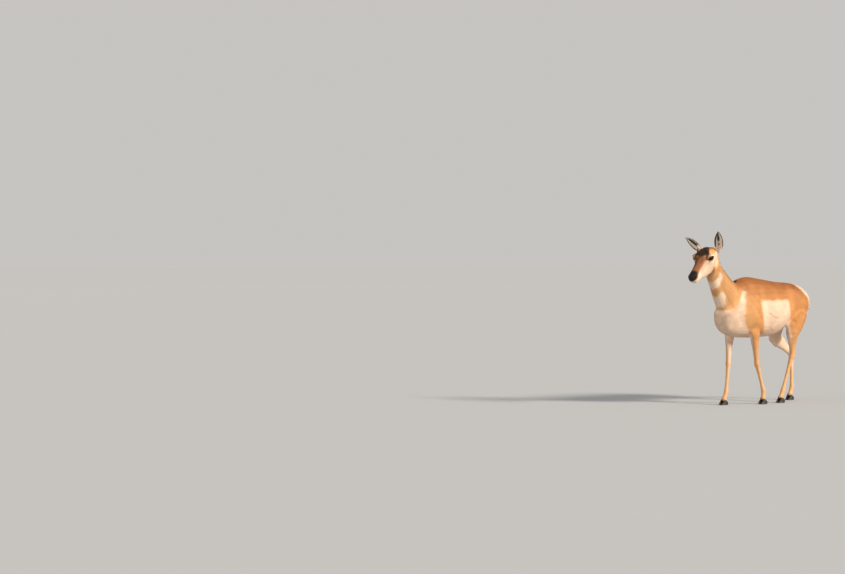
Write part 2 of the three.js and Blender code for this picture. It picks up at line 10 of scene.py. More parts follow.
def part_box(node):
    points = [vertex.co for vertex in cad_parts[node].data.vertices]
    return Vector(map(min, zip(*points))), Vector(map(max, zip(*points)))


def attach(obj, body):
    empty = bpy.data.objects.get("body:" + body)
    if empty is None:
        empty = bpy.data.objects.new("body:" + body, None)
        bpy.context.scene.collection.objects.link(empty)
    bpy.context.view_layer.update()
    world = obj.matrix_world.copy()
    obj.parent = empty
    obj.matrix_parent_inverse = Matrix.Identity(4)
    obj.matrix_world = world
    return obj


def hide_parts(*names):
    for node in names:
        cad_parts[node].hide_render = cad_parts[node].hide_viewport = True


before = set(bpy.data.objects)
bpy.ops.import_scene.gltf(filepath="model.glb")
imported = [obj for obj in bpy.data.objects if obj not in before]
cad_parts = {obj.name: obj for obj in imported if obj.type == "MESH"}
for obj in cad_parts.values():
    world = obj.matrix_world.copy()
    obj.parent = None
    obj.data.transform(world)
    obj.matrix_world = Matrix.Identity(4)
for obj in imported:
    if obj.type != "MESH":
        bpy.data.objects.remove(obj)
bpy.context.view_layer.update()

# Where the model stands. Places on the animal are given in metres forward of the middle of the
# barrel, to her left, and above the ground.
MIDDLE = np.array([0.15881, -0.00234, 0.0])


def on_animal(forward, left, up):
    return np.array([-forward, -left, up]) + MIDDLE


def body_places(points):
    forward, left, up = (np.asarray(points) - MIDDLE).T
    return -forward, -left, up


# The photographer's stand, a long lens at eye height, well off to her left front. It looks past
# her, so that she stands at the right of the picture.
STAND_AZIMUTH = math.radians(-52)
STAND_DISTANCE = 18.0
EYE_HEIGHT = 1.245
LENS = 110
LOOK_ASIDE = math.radians(7.38)
LOOK_DOWN = math.radians(1.376)

aim = on_animal(0.15, 0.085, 0)
toward_stand = np.array([math.sin(STAND_AZIMUTH), -math.cos(STAND_AZIMUTH), 0])
camera_data = bpy.data.cameras.new("photographer")
camera_data.lens = LENS
camera_data.clip_end = 200
camera = bpy.data.objects.new("photographer", camera_data)
camera.location = aim + toward_stand * STAND_DISTANCE + np.array([0, 0, EYE_HEIGHT])
camera.rotation_euler = (math.pi / 2 - LOOK_DOWN, 0, STAND_AZIMUTH + LOOK_ASIDE)
bpy.context.scene.collection.objects.link(camera)
bpy.context.scene.camera = camera
bpy.context.scene.view_settings.view_transform = "Standard"

# The studio. A pale floor that runs on to the horizon, a big warm lamp behind the photographer's
# right shoulder, a paler one opposite, and an even pale surround.
FLOOR_RADIUS = 60
FLOOR_RINGS = 12
FLOOR_SPOKES = 96


def floor_disc():
    shape = bmesh.new()
    rings = []
    for ring in range(1, FLOOR_RINGS + 1):
        radius = FLOOR_RADIUS * (ring / FLOOR_RINGS) ** 2
        turn = [math.tau * spoke / FLOOR_SPOKES for spoke in range(FLOOR_SPOKES)]
        rings.append([shape.verts.new((radius * math.cos(a), radius * math.sin(a), 0)) for a in turn])
    shape.faces.new(rings[0])
    for inner, outer in zip(rings, rings[1:]):
        for spoke in range(FLOOR_SPOKES):
            after = (spoke + 1) % FLOOR_SPOKES
            shape.faces.new((inner[spoke], outer[spoke], outer[after], inner[after]))
    mesh = bpy.data.meshes.new("floor")
    shape.to_mesh(mesh)
    shape.free()
    return bpy.data.objects.new("floor", mesh)


class Finish:
    """One material, built up from nodes."""

    def __init__(self, name, **sockets):
        self.material = bpy.data.materials.new(name)
        self.material.use_nodes = True
        self.tree = self.material.node_tree
        self.shader = self.tree.nodes["Principled BSDF"]
        self.fill(self.shader, sockets)

    def fill(self, node, sockets):
        """Sets each socket, or joins another node's output to it."""
        for name, value in sockets.items():
            socket = node.inputs[name.replace("_", " ")]
            if isinstance(value, bpy.types.NodeSocket):
                self.tree.links.new(value, socket)
            else:
                socket.default_value = value

    def add(self, kind, output=0, settings=(), **sockets):
        node = self.tree.nodes.new("ShaderNode" + kind)
        for name, value in dict(settings).items():
            setattr(node, name, value)
        self.fill(node, sockets)
        return node.outputs[output]

    def ramp(self, pattern, low, high, start=0, end=1):
        """Colours a pattern, from low to high."""
        colour = self.add("ValToRGB", Fac=pattern)
        ends = colour.node.color_ramp.elements
        ends[0].position, ends[1].position = start, end
        ends[0].color, ends[1].color = (*low, 1), (*high, 1)
        return colour

    def varied(self, colour, pattern, low, high, dark=0, light=1):
        """A colour made darker and lighter by a pattern."""
        reach = {"From_Min": dark, "From_Max": light, "To_Min": low, "To_Max": high}
        share = self.add("MapRange", Value=pattern, **reach)
        return self.add("VectorMath", settings={"operation": "SCALE"}, Vector=colour, Scale=share)

    def raised(self, pattern, strength, depth, sunk=False):
        """Fine relief from a pattern."""
        relief = {"Height": pattern, "Strength": strength, "Distance": depth}
        self.fill(self.shader, {"Normal": self.add("Bump", settings={"invert": sunk}, **relief)})

    def paint(self, colour):
        self.fill(self.shader, {"Base Color": colour})
        return self.material


floor = floor_disc()
bpy.context.scene.collection.objects.link(floor)
floor_paint = Finish("floor_paint", Roughness=0.95, Specular_IOR_Level=0)
speckle = floor_paint.add("TexNoise", Scale=6)
mottled = floor_paint.ramp(speckle, (0.435, 0.45, 0.47), (0.455, 0.47, 0.49))
floor.data.materials.append(floor_paint.paint(mottled))

SURROUND_STRENGTH = 0.57
surround = bpy.data.worlds.new("surround")
surround.use_nodes = True
glow = surround.node_tree.nodes["Background"].inputs
glow["Color"].default_value = (1.0, 0.975, 0.94, 1)
glow["Strength"].default_value = SURROUND_STRENGTH
bpy.context.scene.world = surround


def studio_lamp(name, azimuth, height, softness, strength, colour):
    """A far, wide lamp; azimuth 0 shines on her left side, and -90 on her face."""
    lamp_data = bpy.data.lights.new(name, "SUN")
    lamp_data.angle = math.radians(softness)
    lamp_data.energy = strength
    lamp_data.color = colour
    lamp = bpy.data.objects.new(name, lamp_data)
    lamp.rotation_euler = (math.radians(90 - height), 0, math.radians(azimuth))
    bpy.context.scene.collection.objects.link(lamp)


studio_lamp("key_lamp", 15, 30, 11, 4.15, (1.0, 0.90, 0.76))
studio_lamp("fill_lamp", -100, 28, 40, 0.35, (1.0, 0.95, 0.88))

# The skin. On the real animal one hide covers everything but eyes, horns and hooves, so the solids
# of flesh are drawn together here into one closed surface, fine over the head and coarser over the
# body.
FLESH = ["torso", "neck", "head", "tail", "ear_left", "ear_right"]
FLESH += ["foreleg_left", "foreleg_right", "hindleg_left", "hindleg_right"]
CLOSE_GAPS = 0.0007
HEAD_MIDDLE = on_animal(0.62, 0.0, 1.06)
HEAD_REACH = 0.21
HEAD_FINENESS = 3.4
BODY_FINENESS = 0.9
SKIN_GRAIN = 0.0072


def taken_from(shape):
    """The points and faces of a finished shape."""
    points = np.array([v.co for v in shape.verts])
    faces = np.array([[v.index for v in f.verts] for f in shape.faces])
    shape.free()
    return points, faces


def plain_mesh(obj):
    shape = bmesh.new()
    shape.from_mesh(obj.data)
    bmesh.ops.remove_doubles(shape, verts=shape.verts, dist=2e-6)
    bmesh.ops.triangulate(shape, faces=shape.faces)
    shape.normal_update()
    normals = np.array([v.normal for v in shape.verts])
    points, faces = taken_from(shape)
    return points, normals, faces


def ball_mesh(middle, radius):
    shape = bmesh.new()
    bmesh.ops.create_uvsphere(shape, u_segments=40, v_segments=26, radius=radius)
    bmesh.ops.triangulate(shape, faces=shape.faces)
    points, faces = taken_from(shape)
    return points + middle, faces


def stretch(points, back=False):
    """Spreads the space round the head out, so that one even grain is fine there, or draws it back in."""
    away = points - HEAD_MIDDLE
    distance = np.linalg.norm(away, axis=1) + 1e-9
    soft = 0.16
    table = np.linspace(0, 3, 1200)
    near = 1 / (1 + np.exp((table - HEAD_REACH - 0.07) / soft * 5))
    slope = BODY_FINENESS + (HEAD_FINENESS - BODY_FINENESS) * near
    spread = np.concatenate([[0], np.cumsum((slope[1:] + slope[:-1]) / 2 * np.diff(table))])
    mapped = np.interp(distance, spread, table) if back else np.interp(distance, table, spread)
    return HEAD_MIDDLE + away * (mapped / distance)[:, None]


def eye_middle(side_name):
    low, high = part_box("eye_" + side_name)
    return (np.array(low) + np.array(high)) / 2


def joined(bodies):
    """The points and faces of several bodies as one."""
    starts = np.cumsum([0] + [len(points) for points, faces in bodies[:-1]])
    numbered = [faces + start for (points, faces), start in zip(bodies, starts)]
    return np.concatenate([points for points, faces in bodies]), np.concatenate(numbered)


SIDES = ("left", "right")
EYE_RADIUS = (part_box("eye_left")[1].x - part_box("eye_left")[0].x) / 2
LID_THICKNESS = 0.002
solids = [plain_mesh(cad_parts[name]) for name in FLESH]
flesh_points, flesh_faces = joined([(points, faces) for points, normals, faces in solids])
flesh_owner = np.repeat(np.arange(len(FLESH)), [len(faces) for points, normals, faces in solids])
closed = [(points + normals * CLOSE_GAPS, faces) for points, normals, faces in solids]
closed += [ball_mesh(eye_middle(hand), EYE_RADIUS + LID_THICKNESS) for hand in SIDES]
gathered_points, gathered_faces = joined(closed)


def mesh_object(name, points, faces):
    faces = np.asarray(faces, np.int32)
    mesh = bpy.data.meshes.new(name)
    mesh.vertices.add(len(points))
    mesh.vertices.foreach_set("co", np.asarray(points, np.float32).ravel())
    mesh.loops.add(faces.size)
    mesh.loops.foreach_set("vertex_index", faces.ravel())
    mesh.polygons.add(len(faces))
    mesh.polygons.foreach_set("loop_start", np.arange(0, faces.size, faces.shape[1], dtype=np.int32))
    mesh.update(calc_edges=True)
    obj = bpy.data.objects.new(name, mesh)
    bpy.context.scene.collection.objects.link(obj)
    return obj


def after_modifier(name, points, faces, kind, **settings):
    """The points and faces of a mesh after one of Blender's modifiers."""
    obj = mesh_object(name, points, faces)
    modifier = obj.modifiers.new(name, kind)
    for setting, value in settings.items():
        setattr(modifier, setting, value)
    drawn = obj.evaluated_get(bpy.context.evaluated_depsgraph_get()).to_mesh()
    points = np.empty(len(drawn.vertices) * 3)
    drawn.vertices.foreach_get("co", points)
    corners = 4 if kind == "REMESH" else 3
    faces = np.array([list(face.vertices) for face in drawn.polygons if len(face.vertices) == corners])
    bpy.data.objects.remove(obj)
    return points.reshape(-1, 3), faces


skin_points, skin_quads = after_modifier("gathered_flesh", stretch(gathered_points), gathered_faces,
                                         "REMESH", mode="VOXEL", voxel_size=SKIN_GRAIN)
skin_points = stretch(skin_points, back=True)


def largest_island(points, quads):
    label = np.arange(len(points))
    edges = np.stack([quads.ravel(), np.roll(quads, -1, axis=1).ravel()], 1)
    while True:
        lowest = label.copy()
        np.minimum.at(lowest, edges[:, 0], label[edges[:, 1]])
        np.minimum.at(lowest, edges[:, 1], label[edges[:, 0]])
        lowest = lowest[lowest]
        if (lowest == label).all():
            break
        label = lowest
    values, counts = np.unique(label[quads[:, 0]], return_counts=True)
    kept = quads[label[quads[:, 0]] == values[counts.argmax()]]
    used = np.unique(kept)
    renumber = np.full(len(points), -1)
    renumber[used] = np.arange(len(used))
    return points[used], renumber[kept]


skin_points, skin_quads = largest_island(skin_points, skin_quads)


class Surface:
    """The skin as arrays, with its neighbours and normals."""

    def __init__(self, points, faces):
        self.points = points
        self.faces = faces
        edges = np.stack([faces.ravel(), np.roll(faces, -1, axis=1).ravel()], 1)
        self.edges = np.unique(np.sort(edges, axis=1), axis=0)
        self.valence = np.bincount(self.edges.ravel(), minlength=len(points)).astype(float)

    def normals(self):
        corner = self.points[self.faces]
        across = np.cross(corner[:, 1] - corner[:, 0], corner[:, 2] - corner[:, 0])
        if self.faces.shape[1] == 4:
            across = across + np.cross(corner[:, 2] - corner[:, 0], corner[:, 3] - corner[:, 0])
        total = np.zeros_like(self.points)
        for k in range(self.faces.shape[1]):
            np.add.at(total, self.faces[:, k], across)
        return total / (np.linalg.norm(total, axis=1, keepdims=True) + 1e-12)

    def averaged(self, values):
        total = np.zeros_like(values)
        np.add.at(total, self.edges[:, 0], values[self.edges[:, 1]])
        np.add.at(total, self.edges[:, 1], values[self.edges[:, 0]])
        return total / (self.valence[:, None] if values.ndim == 2 else self.valence)

    def blurred(self, values, share, rounds):
        for step in range(rounds):
            values = values * (1 - share) + self.averaged(values) * share
        return values

    def relax(self, amount, rounds):
        """Draws every point toward the middle of its neighbours."""
        for step in range(rounds):
            self.points = self.points + (self.averaged(self.points) - self.points) * amount[:, None]

    def smooth(self, amount, rounds):
        """Rounds off bumps of a few grains and puts back the size that this takes away."""
        for step in range(rounds):
            self.relax(amount, 1)
            self.points = self.points - (self.averaged(self.points) - self.points) * amount[:, None] * 0.9


skin = Surface(skin_points, skin_quads)
tree = BVHTree.FromPolygons(flesh_points.tolist(), flesh_faces.tolist())


def owners_of(points):
    """Which solid of flesh each place belongs to."""
    return np.array([flesh_owner[tree.find_nearest(Vector(p))[2]] for p in points.tolist()])


owner = owners_of(skin.points)
part = {name: number for number, name in enumerate(FLESH)}
EAR_PARTS = [part["ear_left"], part["ear_right"]]
BODY_PARTS = [part["torso"], part["neck"]]
FIRST_LEG = part["foreleg_left"]
is_ear = np.isin(owner, EAR_PARTS)
amount = np.where(is_ear, 0.3, np.where(owner == part["head"], 0.45, 0.6))
skin.smooth(amount, 6)

# Head. It is lowered and turned a little to her left, so it has directions of its own: along the
# face from the poll to the nose, to her left, and out of the forehead.
FACE_DOWN = math.radians(35)
FACE_LEFT = math.radians(9)
FACE_LEAN = math.radians(1.5)
POLL = on_animal(0.564, 0.012, 1.055)
turned = Matrix.Rotation(FACE_LEFT, 3, "Z") @ Matrix.Rotation(FACE_DOWN, 3, "Y")
head_axes = np.diag([-1.0, -1.0, 1.0]) @ np.array(turned @ Matrix.Rotation(-FACE_LEAN, 3, "X"))


def head_places(points):
    """Millimetres along the face, to her left and out of the forehead."""
    along, left, out = ((points - POLL) @ head_axes * 1000).T
    return along, left, out


def unit(way):
    """The same direction with a length of 1."""
    return way / np.linalg.norm(way)


def square_to(axis, way):
    """The direction nearest to way that is square to an axis."""
    return unit(way - axis * (way @ axis))


def head_way(along, left, out):
    return unit(head_axes @ np.array([along, left, out], float))


def eased(value, low, high):
    """0 below low, 1 above high and a soft step between them."""
    share = np.clip((value - low) / (high - low), 0, 1)
    return share * share * (3 - 2 * share)


def hump(value, middle, width):
    """1 at the middle, falling away softly on both sides."""
    return np.exp(-(((value - middle) / width) ** 2))


# Nape and tail. Their long hair is set on later, tuft by tuft, so the ridges that the solids have
# there are smoothed away.
NAPE_PLACES = [(0.27, 0, 0.84), (0.36, 0.004, 0.87), (0.46, 0.008, 0.945)]
NAPE_PLACES += [(0.5, 0.011, 1.0), (0.515, 0.013, 1.05), (0.545, 0.014, 1.115)]
NAPE_LINE = np.array([on_animal(*place) for place in NAPE_PLACES])


def distance_to_line(points, line):
    best = np.full(len(points), 9.0)
    for start, end in zip(line, line[1:]):
        way = end - start
        share = np.clip((points - start) @ way / (way @ way), 0, 1)
        best = np.minimum(best, np.linalg.norm(points - start - share[:, None] * way, axis=1))
    return best


def distance_in_profile(x, y, line):
    """How far places on the side view are from a line drawn on it."""
    flat_line = np.array([(*spot, 0) for spot in line], float)
    return distance_to_line(np.stack([x, y, 0 * x], 1), flat_line)


on_nape = 1 - eased(distance_to_line(skin.points, NAPE_LINE), 0.03, 0.055)
on_tail = owner == part["tail"]
skin.smooth(np.where(on_tail, 0.12, on_nape * 0.6), 40)

# Ears. Each is a stiff leaf-shaped cup of gristle and thin skin, with a dark edge and tip, pale
# hair along the rims inside, and a dark middle, which is painted wider in the right ear as painted
# shade inside its cup.
EAR_LENGTH = 0.146
EARS = {
    "ear_left": ((3, 72, 22), (0.2, 0.12, 0.97), (0.86, 0.5, 0)),
    "ear_right": ((16, -69, 34), (0.06, -0.82, 0.66), (0.9, 0.06, -0.4)),
}
EAR_SHARE = [0, 0.14, 0.28, 0.48, 0.68, 0.84, 0.95, 1]
EAR_HALF = [11, 19, 26, 30, 27, 18, 8, 2]


def ear_frame(name):
    root, way, opening = EARS[name]
    base = POLL + head_axes @ np.array(root) / 1000
    axis = unit(on_animal(*way) - MIDDLE)
    front = square_to(axis, on_animal(*opening) - MIDDLE)
    return base, axis, front, np.cross(axis, front)


def ear_places(points, name):
    base, axis, front, across = ear_frame(name)
    away = points - base
    share = (away @ axis + 0.020) / (EAR_LENGTH + 0.008)
    return share, away @ across * 1000, away @ front * 1000


# Where the neck, legs and ears run into the body, the hide bridges the corner between them.
crossing = owner[skin.edges[:, 0]] != owner[skin.edges[:, 1]]
joins = np.zeros(len(skin.points))
joins[skin.edges[crossing].ravel()] = 1
for step in range(10):
    joins = np.maximum(joins, skin.averaged(joins) * 1.6).clip(0, 1)
joins[is_ear] *= 0.8
skin.smooth(joins * 0.7, 14)
skin.relax(joins * 0.5, 10)

# Behind the ears the neck's muscles run up over the back of the skull without a step.
POLL_BACK = on_animal(0.532, 0.012, 1.085)
POLL_ROUNDS = 90
on_poll = 1 - eased(np.linalg.norm(skin.points - POLL_BACK, axis=1), 0.032, 0.068)
on_poll[is_ear] = 0
skin.relax(on_poll * 0.55, POLL_ROUNDS)

# The ears grow narrower toward the root and lean into the skull there.
for name in EARS:
    base, axis, front, across = ear_frame(name)
    share = ear_places(skin.points, name)[0]
    mine = owner == part[name]
    low = (1 - eased(share, 0.02, 0.30)) * mine
    tip = (1 - eased(share, -0.03, 0.12)) * mine
    away = skin.points - base
    aside = away - np.outer(away @ axis, axis)
    inward = head_way(0.1, -1 if name == "ear_left" else 1, -0.1)
    lean_in = inward * (low * 0.006 + tip * 0.011)[:, None]
    skin.points = skin.points - aside * (low * 0.42)[:, None] + lean_in
    skin.smooth(low * 0.5, 6)

# Under the hide the shoulder blade, the upper arm, the hip bone and the thigh muscles stand out,
# with hollows behind the shoulder, in front of the hip and along the windpipe. Each is a line seen
# from the side, in metres.
RELIEF = [
    ((0.235, 0.84), (0.265, 0.66), 0.034, 3.5),
    ((0.265, 0.66), (0.200, 0.575), 0.036, 4.5),
    ((0.155, 0.56), (0.165, 0.53), 0.020, 4.0),
    ((0.125, 0.78), (0.120, 0.60), 0.034, -4.5),
    ((0.310, 0.78), (0.300, 0.66), 0.034, -3.0),
    ((-0.235, 0.795), (-0.262, 0.775), 0.028, 5.0),
    ((-0.175, 0.765), (-0.190, 0.68), 0.040, -5.0),
    ((-0.265, 0.70), (-0.235, 0.60), 0.040, 4.5),
    ((-0.330, 0.74), (-0.315, 0.60), 0.026, -2.2),
    ((-0.375, 0.72), (-0.355, 0.60), 0.034, 3.0),
    ((-0.215, 0.57), (-0.165, 0.535), 0.022, -3.0),
    ((0.530, 0.875), (0.410, 0.68), 0.020, -4.0),
    ((0.375, 0.63), (0.335, 0.565), 0.020, -2.2),
    ((0.435, 0.61), (0.405, 0.55), 0.020, -2.0),
]
forward, left, up_of = body_places(skin.points)
normals = skin.normals()
seen_side = eased(np.abs(normals[:, 1]), 0.25, 0.6)
swell = np.zeros(len(skin.points))
for start, end, width, height in RELIEF:
    away = distance_in_profile(forward, up_of, [start, end])
    swell += hump(away, 0, width) * height
RIB_SPACING = 0.0285
ribs = np.sin((forward + (up_of - 0.6) * 0.35) / RIB_SPACING * math.pi)
ribs = ribs * eased(0.155 - np.abs(forward + 0.01), 0, 0.05)
swell += ribs * 0.12 * eased(up_of, 0.54, 0.60) * (1 - eased(up_of, 0.74, 0.80))
body_only = np.isin(owner, BODY_PARTS) | ((owner >= FIRST_LEG) & (up_of > 0.5))
skin.points = skin.points + normals * (swell * seen_side * body_only / 1000)[:, None]


def refined(points, quads, near, rounds):
    """Splits the faces near the features of the face, then cuts all faces to triangles."""
    shape = bmesh.new()
    for p in points.tolist():
        shape.verts.new(p)
    shape.verts.ensure_lookup_table()
    for quad in quads.tolist():
        shape.faces.new([shape.verts[k] for k in quad])
    for step in range(rounds):
        centres = np.array([face.calc_center_median() for face in shape.faces])
        close = near(centres, step)
        edges = {edge for face, wanted in zip(shape.faces, close) if wanted for edge in face.edges}
        bmesh.ops.subdivide_edges(shape, edges=list(edges), cuts=1, use_grid_fill=True, smooth=0.4)
    bmesh.ops.triangulate(shape, faces=shape.faces)
    shape.verts.index_update()
    return taken_from(shape)


def near_features(centres, step):
    close = np.zeros(len(centres), bool)
    for hand in SIDES:
        close |= np.linalg.norm(centres - eye_middle(hand), axis=1) < 0.040 - 0.004 * step
    along, left, out = head_places(centres)
    muzzle = (along > 225) & (np.abs(left) < 60) & (out < 45) & (out > -60)
    return close | (muzzle & (step == 0))


skin_points, skin_faces = refined(skin.points, skin.faces, near_features, 2)
skin = Surface(skin_points, skin_faces)
owner = owners_of(skin.points)
is_head = owner == part["head"]

# Eyelids and mouth. Bare dark rims of skin lie on the eyeball, the upper lid has a fold, and the
# lips meet in a thin line under the nostrils.
SKIN_TRIANGLES = 178000
LID_LENGTH = 21.5
LID_UP = 13.6
LID_DOWN = 12.0
LID_CURVE = 24.0
BALL_SURFACE = 19.5
LID_RISE = 7.0
EYE_FORWARD = {"left": head_way(0.66, 1, 0.14), "right": head_way(0.66, -1, 0.14)}


def lid_distance(points, hand):
    """Millimetres outside the rim of the lids, measured over the eyeball."""
    forward = EYE_FORWARD[hand]
    toward_nose = square_to(forward, head_way(1, 0, 0.12))
    upward = np.cross(forward, toward_nose) * (1 if hand == "left" else -1)
    upward *= np.sign(upward @ head_way(0, 0, 1))
    away = (points - eye_middle(hand)) * 1000
    radius = np.linalg.norm(away, axis=1) + 1e-6
    height = away @ forward
    angle = np.arccos(np.clip(height / radius, -1, 1))
    flat = np.hypot(away @ toward_nose, away @ upward) + 1e-9
    nose = away @ toward_nose / flat * angle * LID_CURVE
    up = away @ upward / flat * angle * LID_CURVE
    nose = nose + 1.6
    up = up + 0.07 * nose
    tall = np.where(up > 0, LID_UP, LID_DOWN)
    long = np.where(nose > 0, LID_LENGTH * 1.12, LID_LENGTH)
    bulge = np.hypot(nose / long, up / tall)
    almond = (np.abs(nose / long) ** 1.35 + np.abs(up / tall) ** 1.35) ** 0.74
    outline = 0.35 * bulge + 0.65 * almond
    return (outline - 1) * 15, up, nose, radius


for hand in SIDES:
    rim, up, nose, radius = lid_distance(skin.points, hand)
    near = (radius < 44) & is_head
    target = BALL_SURFACE + LID_RISE * eased(rim, -2.6, 1.6) + 0.7 * eased(rim, 0.5, 2.2)
    fold = hump(rim, 8.5, 1.6) * 1.3 * eased(up, -2, 8)
    under = hump(rim, 9.0, 2.0) * 0.7 * eased(-up, -2, 8)
    hold = (1 - eased(rim, 5, 13)) * near
    middle = eye_middle(hand)
    away = skin.points - middle
    now = np.linalg.norm(away, axis=1)
    reach = now + (target / 1000 - now) * hold - (fold + under) / 1000 * near
    skin.points = np.where(near[:, None], middle + away * (reach / now)[:, None], skin.points)


def lip_line(along):
    return np.interp(along, [236, 252, 275, 298, 314, 322], [-13.5, -15.5, -19.0, -20.5, -17.5, -14])


normals = skin.normals()
along, left, out = head_places(skin.points)
lip = out - lip_line(along)
in_mouth = eased(along, 234, 246) * is_head
groove = hump(lip, 0, 1.5) * 2.0 * in_mouth
upper_lip = hump(lip, 5, 4.2) * 1.3 * in_mouth
lips = upper_lip + hump(lip, -4.5, 3.5) * 0.9 * in_mouth
face_side = np.stack([along, np.abs(left), out], 1)
NOSTRIL = np.array([(306, 12, 3), (304, 18, 6), (299, 22, 9), (292, 24.5, 10)], float)
slit = distance_to_line(face_side, NOSTRIL)
flare = hump(slit, 5.6, 2.8) * 0.8 - hump(slit, 0, 2.4) * 4.0
between = hump(left, 0, 1.2) * eased(along, 308, 314) * (out > -16)
skin.points = skin.points + normals * ((lips - groove + (flare - between) * is_head) / 1000)[:, None]
skin.smooth(np.where(is_head, 0.35, 0), 1)

share_kept = SKIN_TRIANGLES / len(skin.faces)
thinned = after_modifier("sculpted_hide", skin.points, skin.faces, "DECIMATE", ratio=share_kept)
skin = Surface(*largest_island(*thinned))
owner = owners_of(skin.points)
is_head = owner == part["head"]

# The hide lies under the coat. It is drawn in by the depth of the hair, which is longest on the
# rump and back, and very short round the eyes and on the muzzle.
COAT_DEPTH = {"torso": 3.6, "neck": 3.2, "head": 1.1, "tail": 4.0, "ear_left": 0.2, "ear_right": 0.2}
depth = np.array([COAT_DEPTH.get(name, 0) for name in FLESH])[owner]
leg_depth = np.interp(skin.points[:, 2], [0.05, 0.35, 0.55], [0.7, 1.2, 3.0])
depth = np.where(owner >= FIRST_LEG, leg_depth, depth)
depth = np.where(is_head & (head_places(skin.points)[0] > 240), 0.3, depth)
for hand in SIDES:
    rim, up, nose, radius = lid_distance(skin.points, hand)
    depth = np.where(is_head & (radius < 40), depth * eased(rim, 3, 14), depth)
depth = skin.blurred(depth, 0.6, 12)
skin.points = skin.points - skin.normals() * (depth / 1000)[:, None]
skin_normals = skin.normals()


# Markings. Tan above, creamy white below, with a squared white panel on each flank, two white bands
# across the throat, a white rump, and a dark crown, nose and mane. Painted shade is laid over darker
# hair down her right side of the face, under the jaw and in the right ear's cup, and painted light
# over the white inside the ears. Places are in metres on the body and legs, and in millimetres on the
# head and ears.
def tint(red, green, blue):
    share = np.array([red, green, blue]) / 255
    return np.where(share <= 0.04045, share / 12.92, ((share + 0.055) / 1.055) ** 2.4)


TAN = tint(212, 148, 90)
TAN_BACK = tint(152, 90, 48)
TAN_PALE = tint(226, 176, 124)
CREAM = tint(241, 207, 179)
WHITE = tint(248, 218, 190)
RUFOUS = tint(146, 92, 60)
UMBER = tint(104, 62, 40)
BLACK = tint(26, 19, 17)
PINK = tint(226, 180, 152)
# The white hair inside the ears, painted brighter than the white elsewhere: partly its own white and
# partly painted light, for the light the thin ears catch and let through.
EAR_WHITE_LIT = tint(255, 240, 218)


def inside(outline, x, y):
    """How far inside an outline each place is, in the outline's own unit; negative outside it."""
    corners = np.array(outline, float)
    best = np.full(len(x), 1e9)
    odd = np.zeros(len(x), bool)
    for (x0, y0), (x1, y1) in zip(corners, np.roll(corners, -1, axis=0)):
        dx, dy = x1 - x0, y1 - y0
        share = np.clip(((x - x0) * dx + (y - y0) * dy) / (dx * dx + dy * dy + 1e-12), 0, 1)
        best = np.minimum(best, np.hypot(x - x0 - share * dx, y - y0 - share * dy))
        crosses = (y0 > y) != (y1 > y)
        odd ^= crosses & (x < (x1 - x0) * (y - y0) / (dy if dy else 1e-12) + x0)
    return np.where(odd, best, -best)


UPPER_BAND = [(0.524, 0.934), (0.503, 0.905), (0.506, 0.876), (0.517, 0.842), (0.529, 0.822)]
UPPER_BAND += [(0.545, 0.812), (0.68, 0.80), (0.68, 0.865), (0.565, 0.862), (0.552, 0.876), (0.538, 0.905)]
LOWER_BAND = [(0.500, 0.795), (0.476, 0.786), (0.458, 0.758), (0.453, 0.722), (0.453, 0.69)]
LOWER_BAND += [(0.50, 0.66), (0.66, 0.66), (0.66, 0.745), (0.515, 0.752), (0.508, 0.768)]
FLANK_TOP = 0.7225
FLANK_UP = [0.40, 0.482, 0.534, 0.590, 0.646, 0.688, 0.726]
FLANK_FRONT = [0.05, 0.061, 0.108, 0.126, 0.138, 0.148, 0.155]
FLANK_BACK = [-0.30, -0.25, -0.205, -0.182, -0.160, -0.153, -0.147]
CHEST_UP = [0.46, 0.494, 0.531, 0.574, 0.623, 0.671, 0.726, 0.788, 0.80]
CHEST_BACK = [0.16, 0.205, 0.265, 0.312, 0.328, 0.318, 0.300, 0.282, 0.30]
CHEST_FORWARD = [0.27, 0.286, 0.319, 0.337, 0.357, 0.389, 0.420, 0.436, 0.6]
CHEST_TOP = [0.80, 0.792, 0.758, 0.730, 0.702, 0.672, 0.662, 0.664, 0.68]
RUMP_UP = [0.56, 0.60, 0.638, 0.667, 0.703, 0.732, 0.761, 0.790, 0.811, 0.84]
RUMP_EDGE = [-0.46, -0.435, -0.424, -0.399, -0.390, -0.374, -0.354, -0.334, -0.318, -0.322]


def swirl(points, size, seed):
    """A slow wavering, the same at near places, from -1 to 1."""
    wave = np.random.default_rng(seed).normal(size=(5, 3)) / size
    return np.sin(points @ wave.T + np.arange(5)).mean(1) * 1.6


def mixed(under, over, share):
    return under + (over - under) * np.clip(share, 0, 1)[:, None]


PARTINGS = [((0.074, 0.636), (0.040, 0.618), (-0.012, 0.600))]
PARTINGS += [((0.036, 0.535), (0.012, 0.521), (-0.014, 0.514))]


def parted(points):
    """Where the coat of the near flank has parted and shows the shade between the hairs."""
    forward, left, up = body_places(points)
    share = np.zeros(len(points))
    for line in PARTINGS:
        away = distance_in_profile(forward, up, line)
        share = np.maximum(share, (1 - eased(away, 0.0012, 0.0040)) * (left > 0.05))
    return share


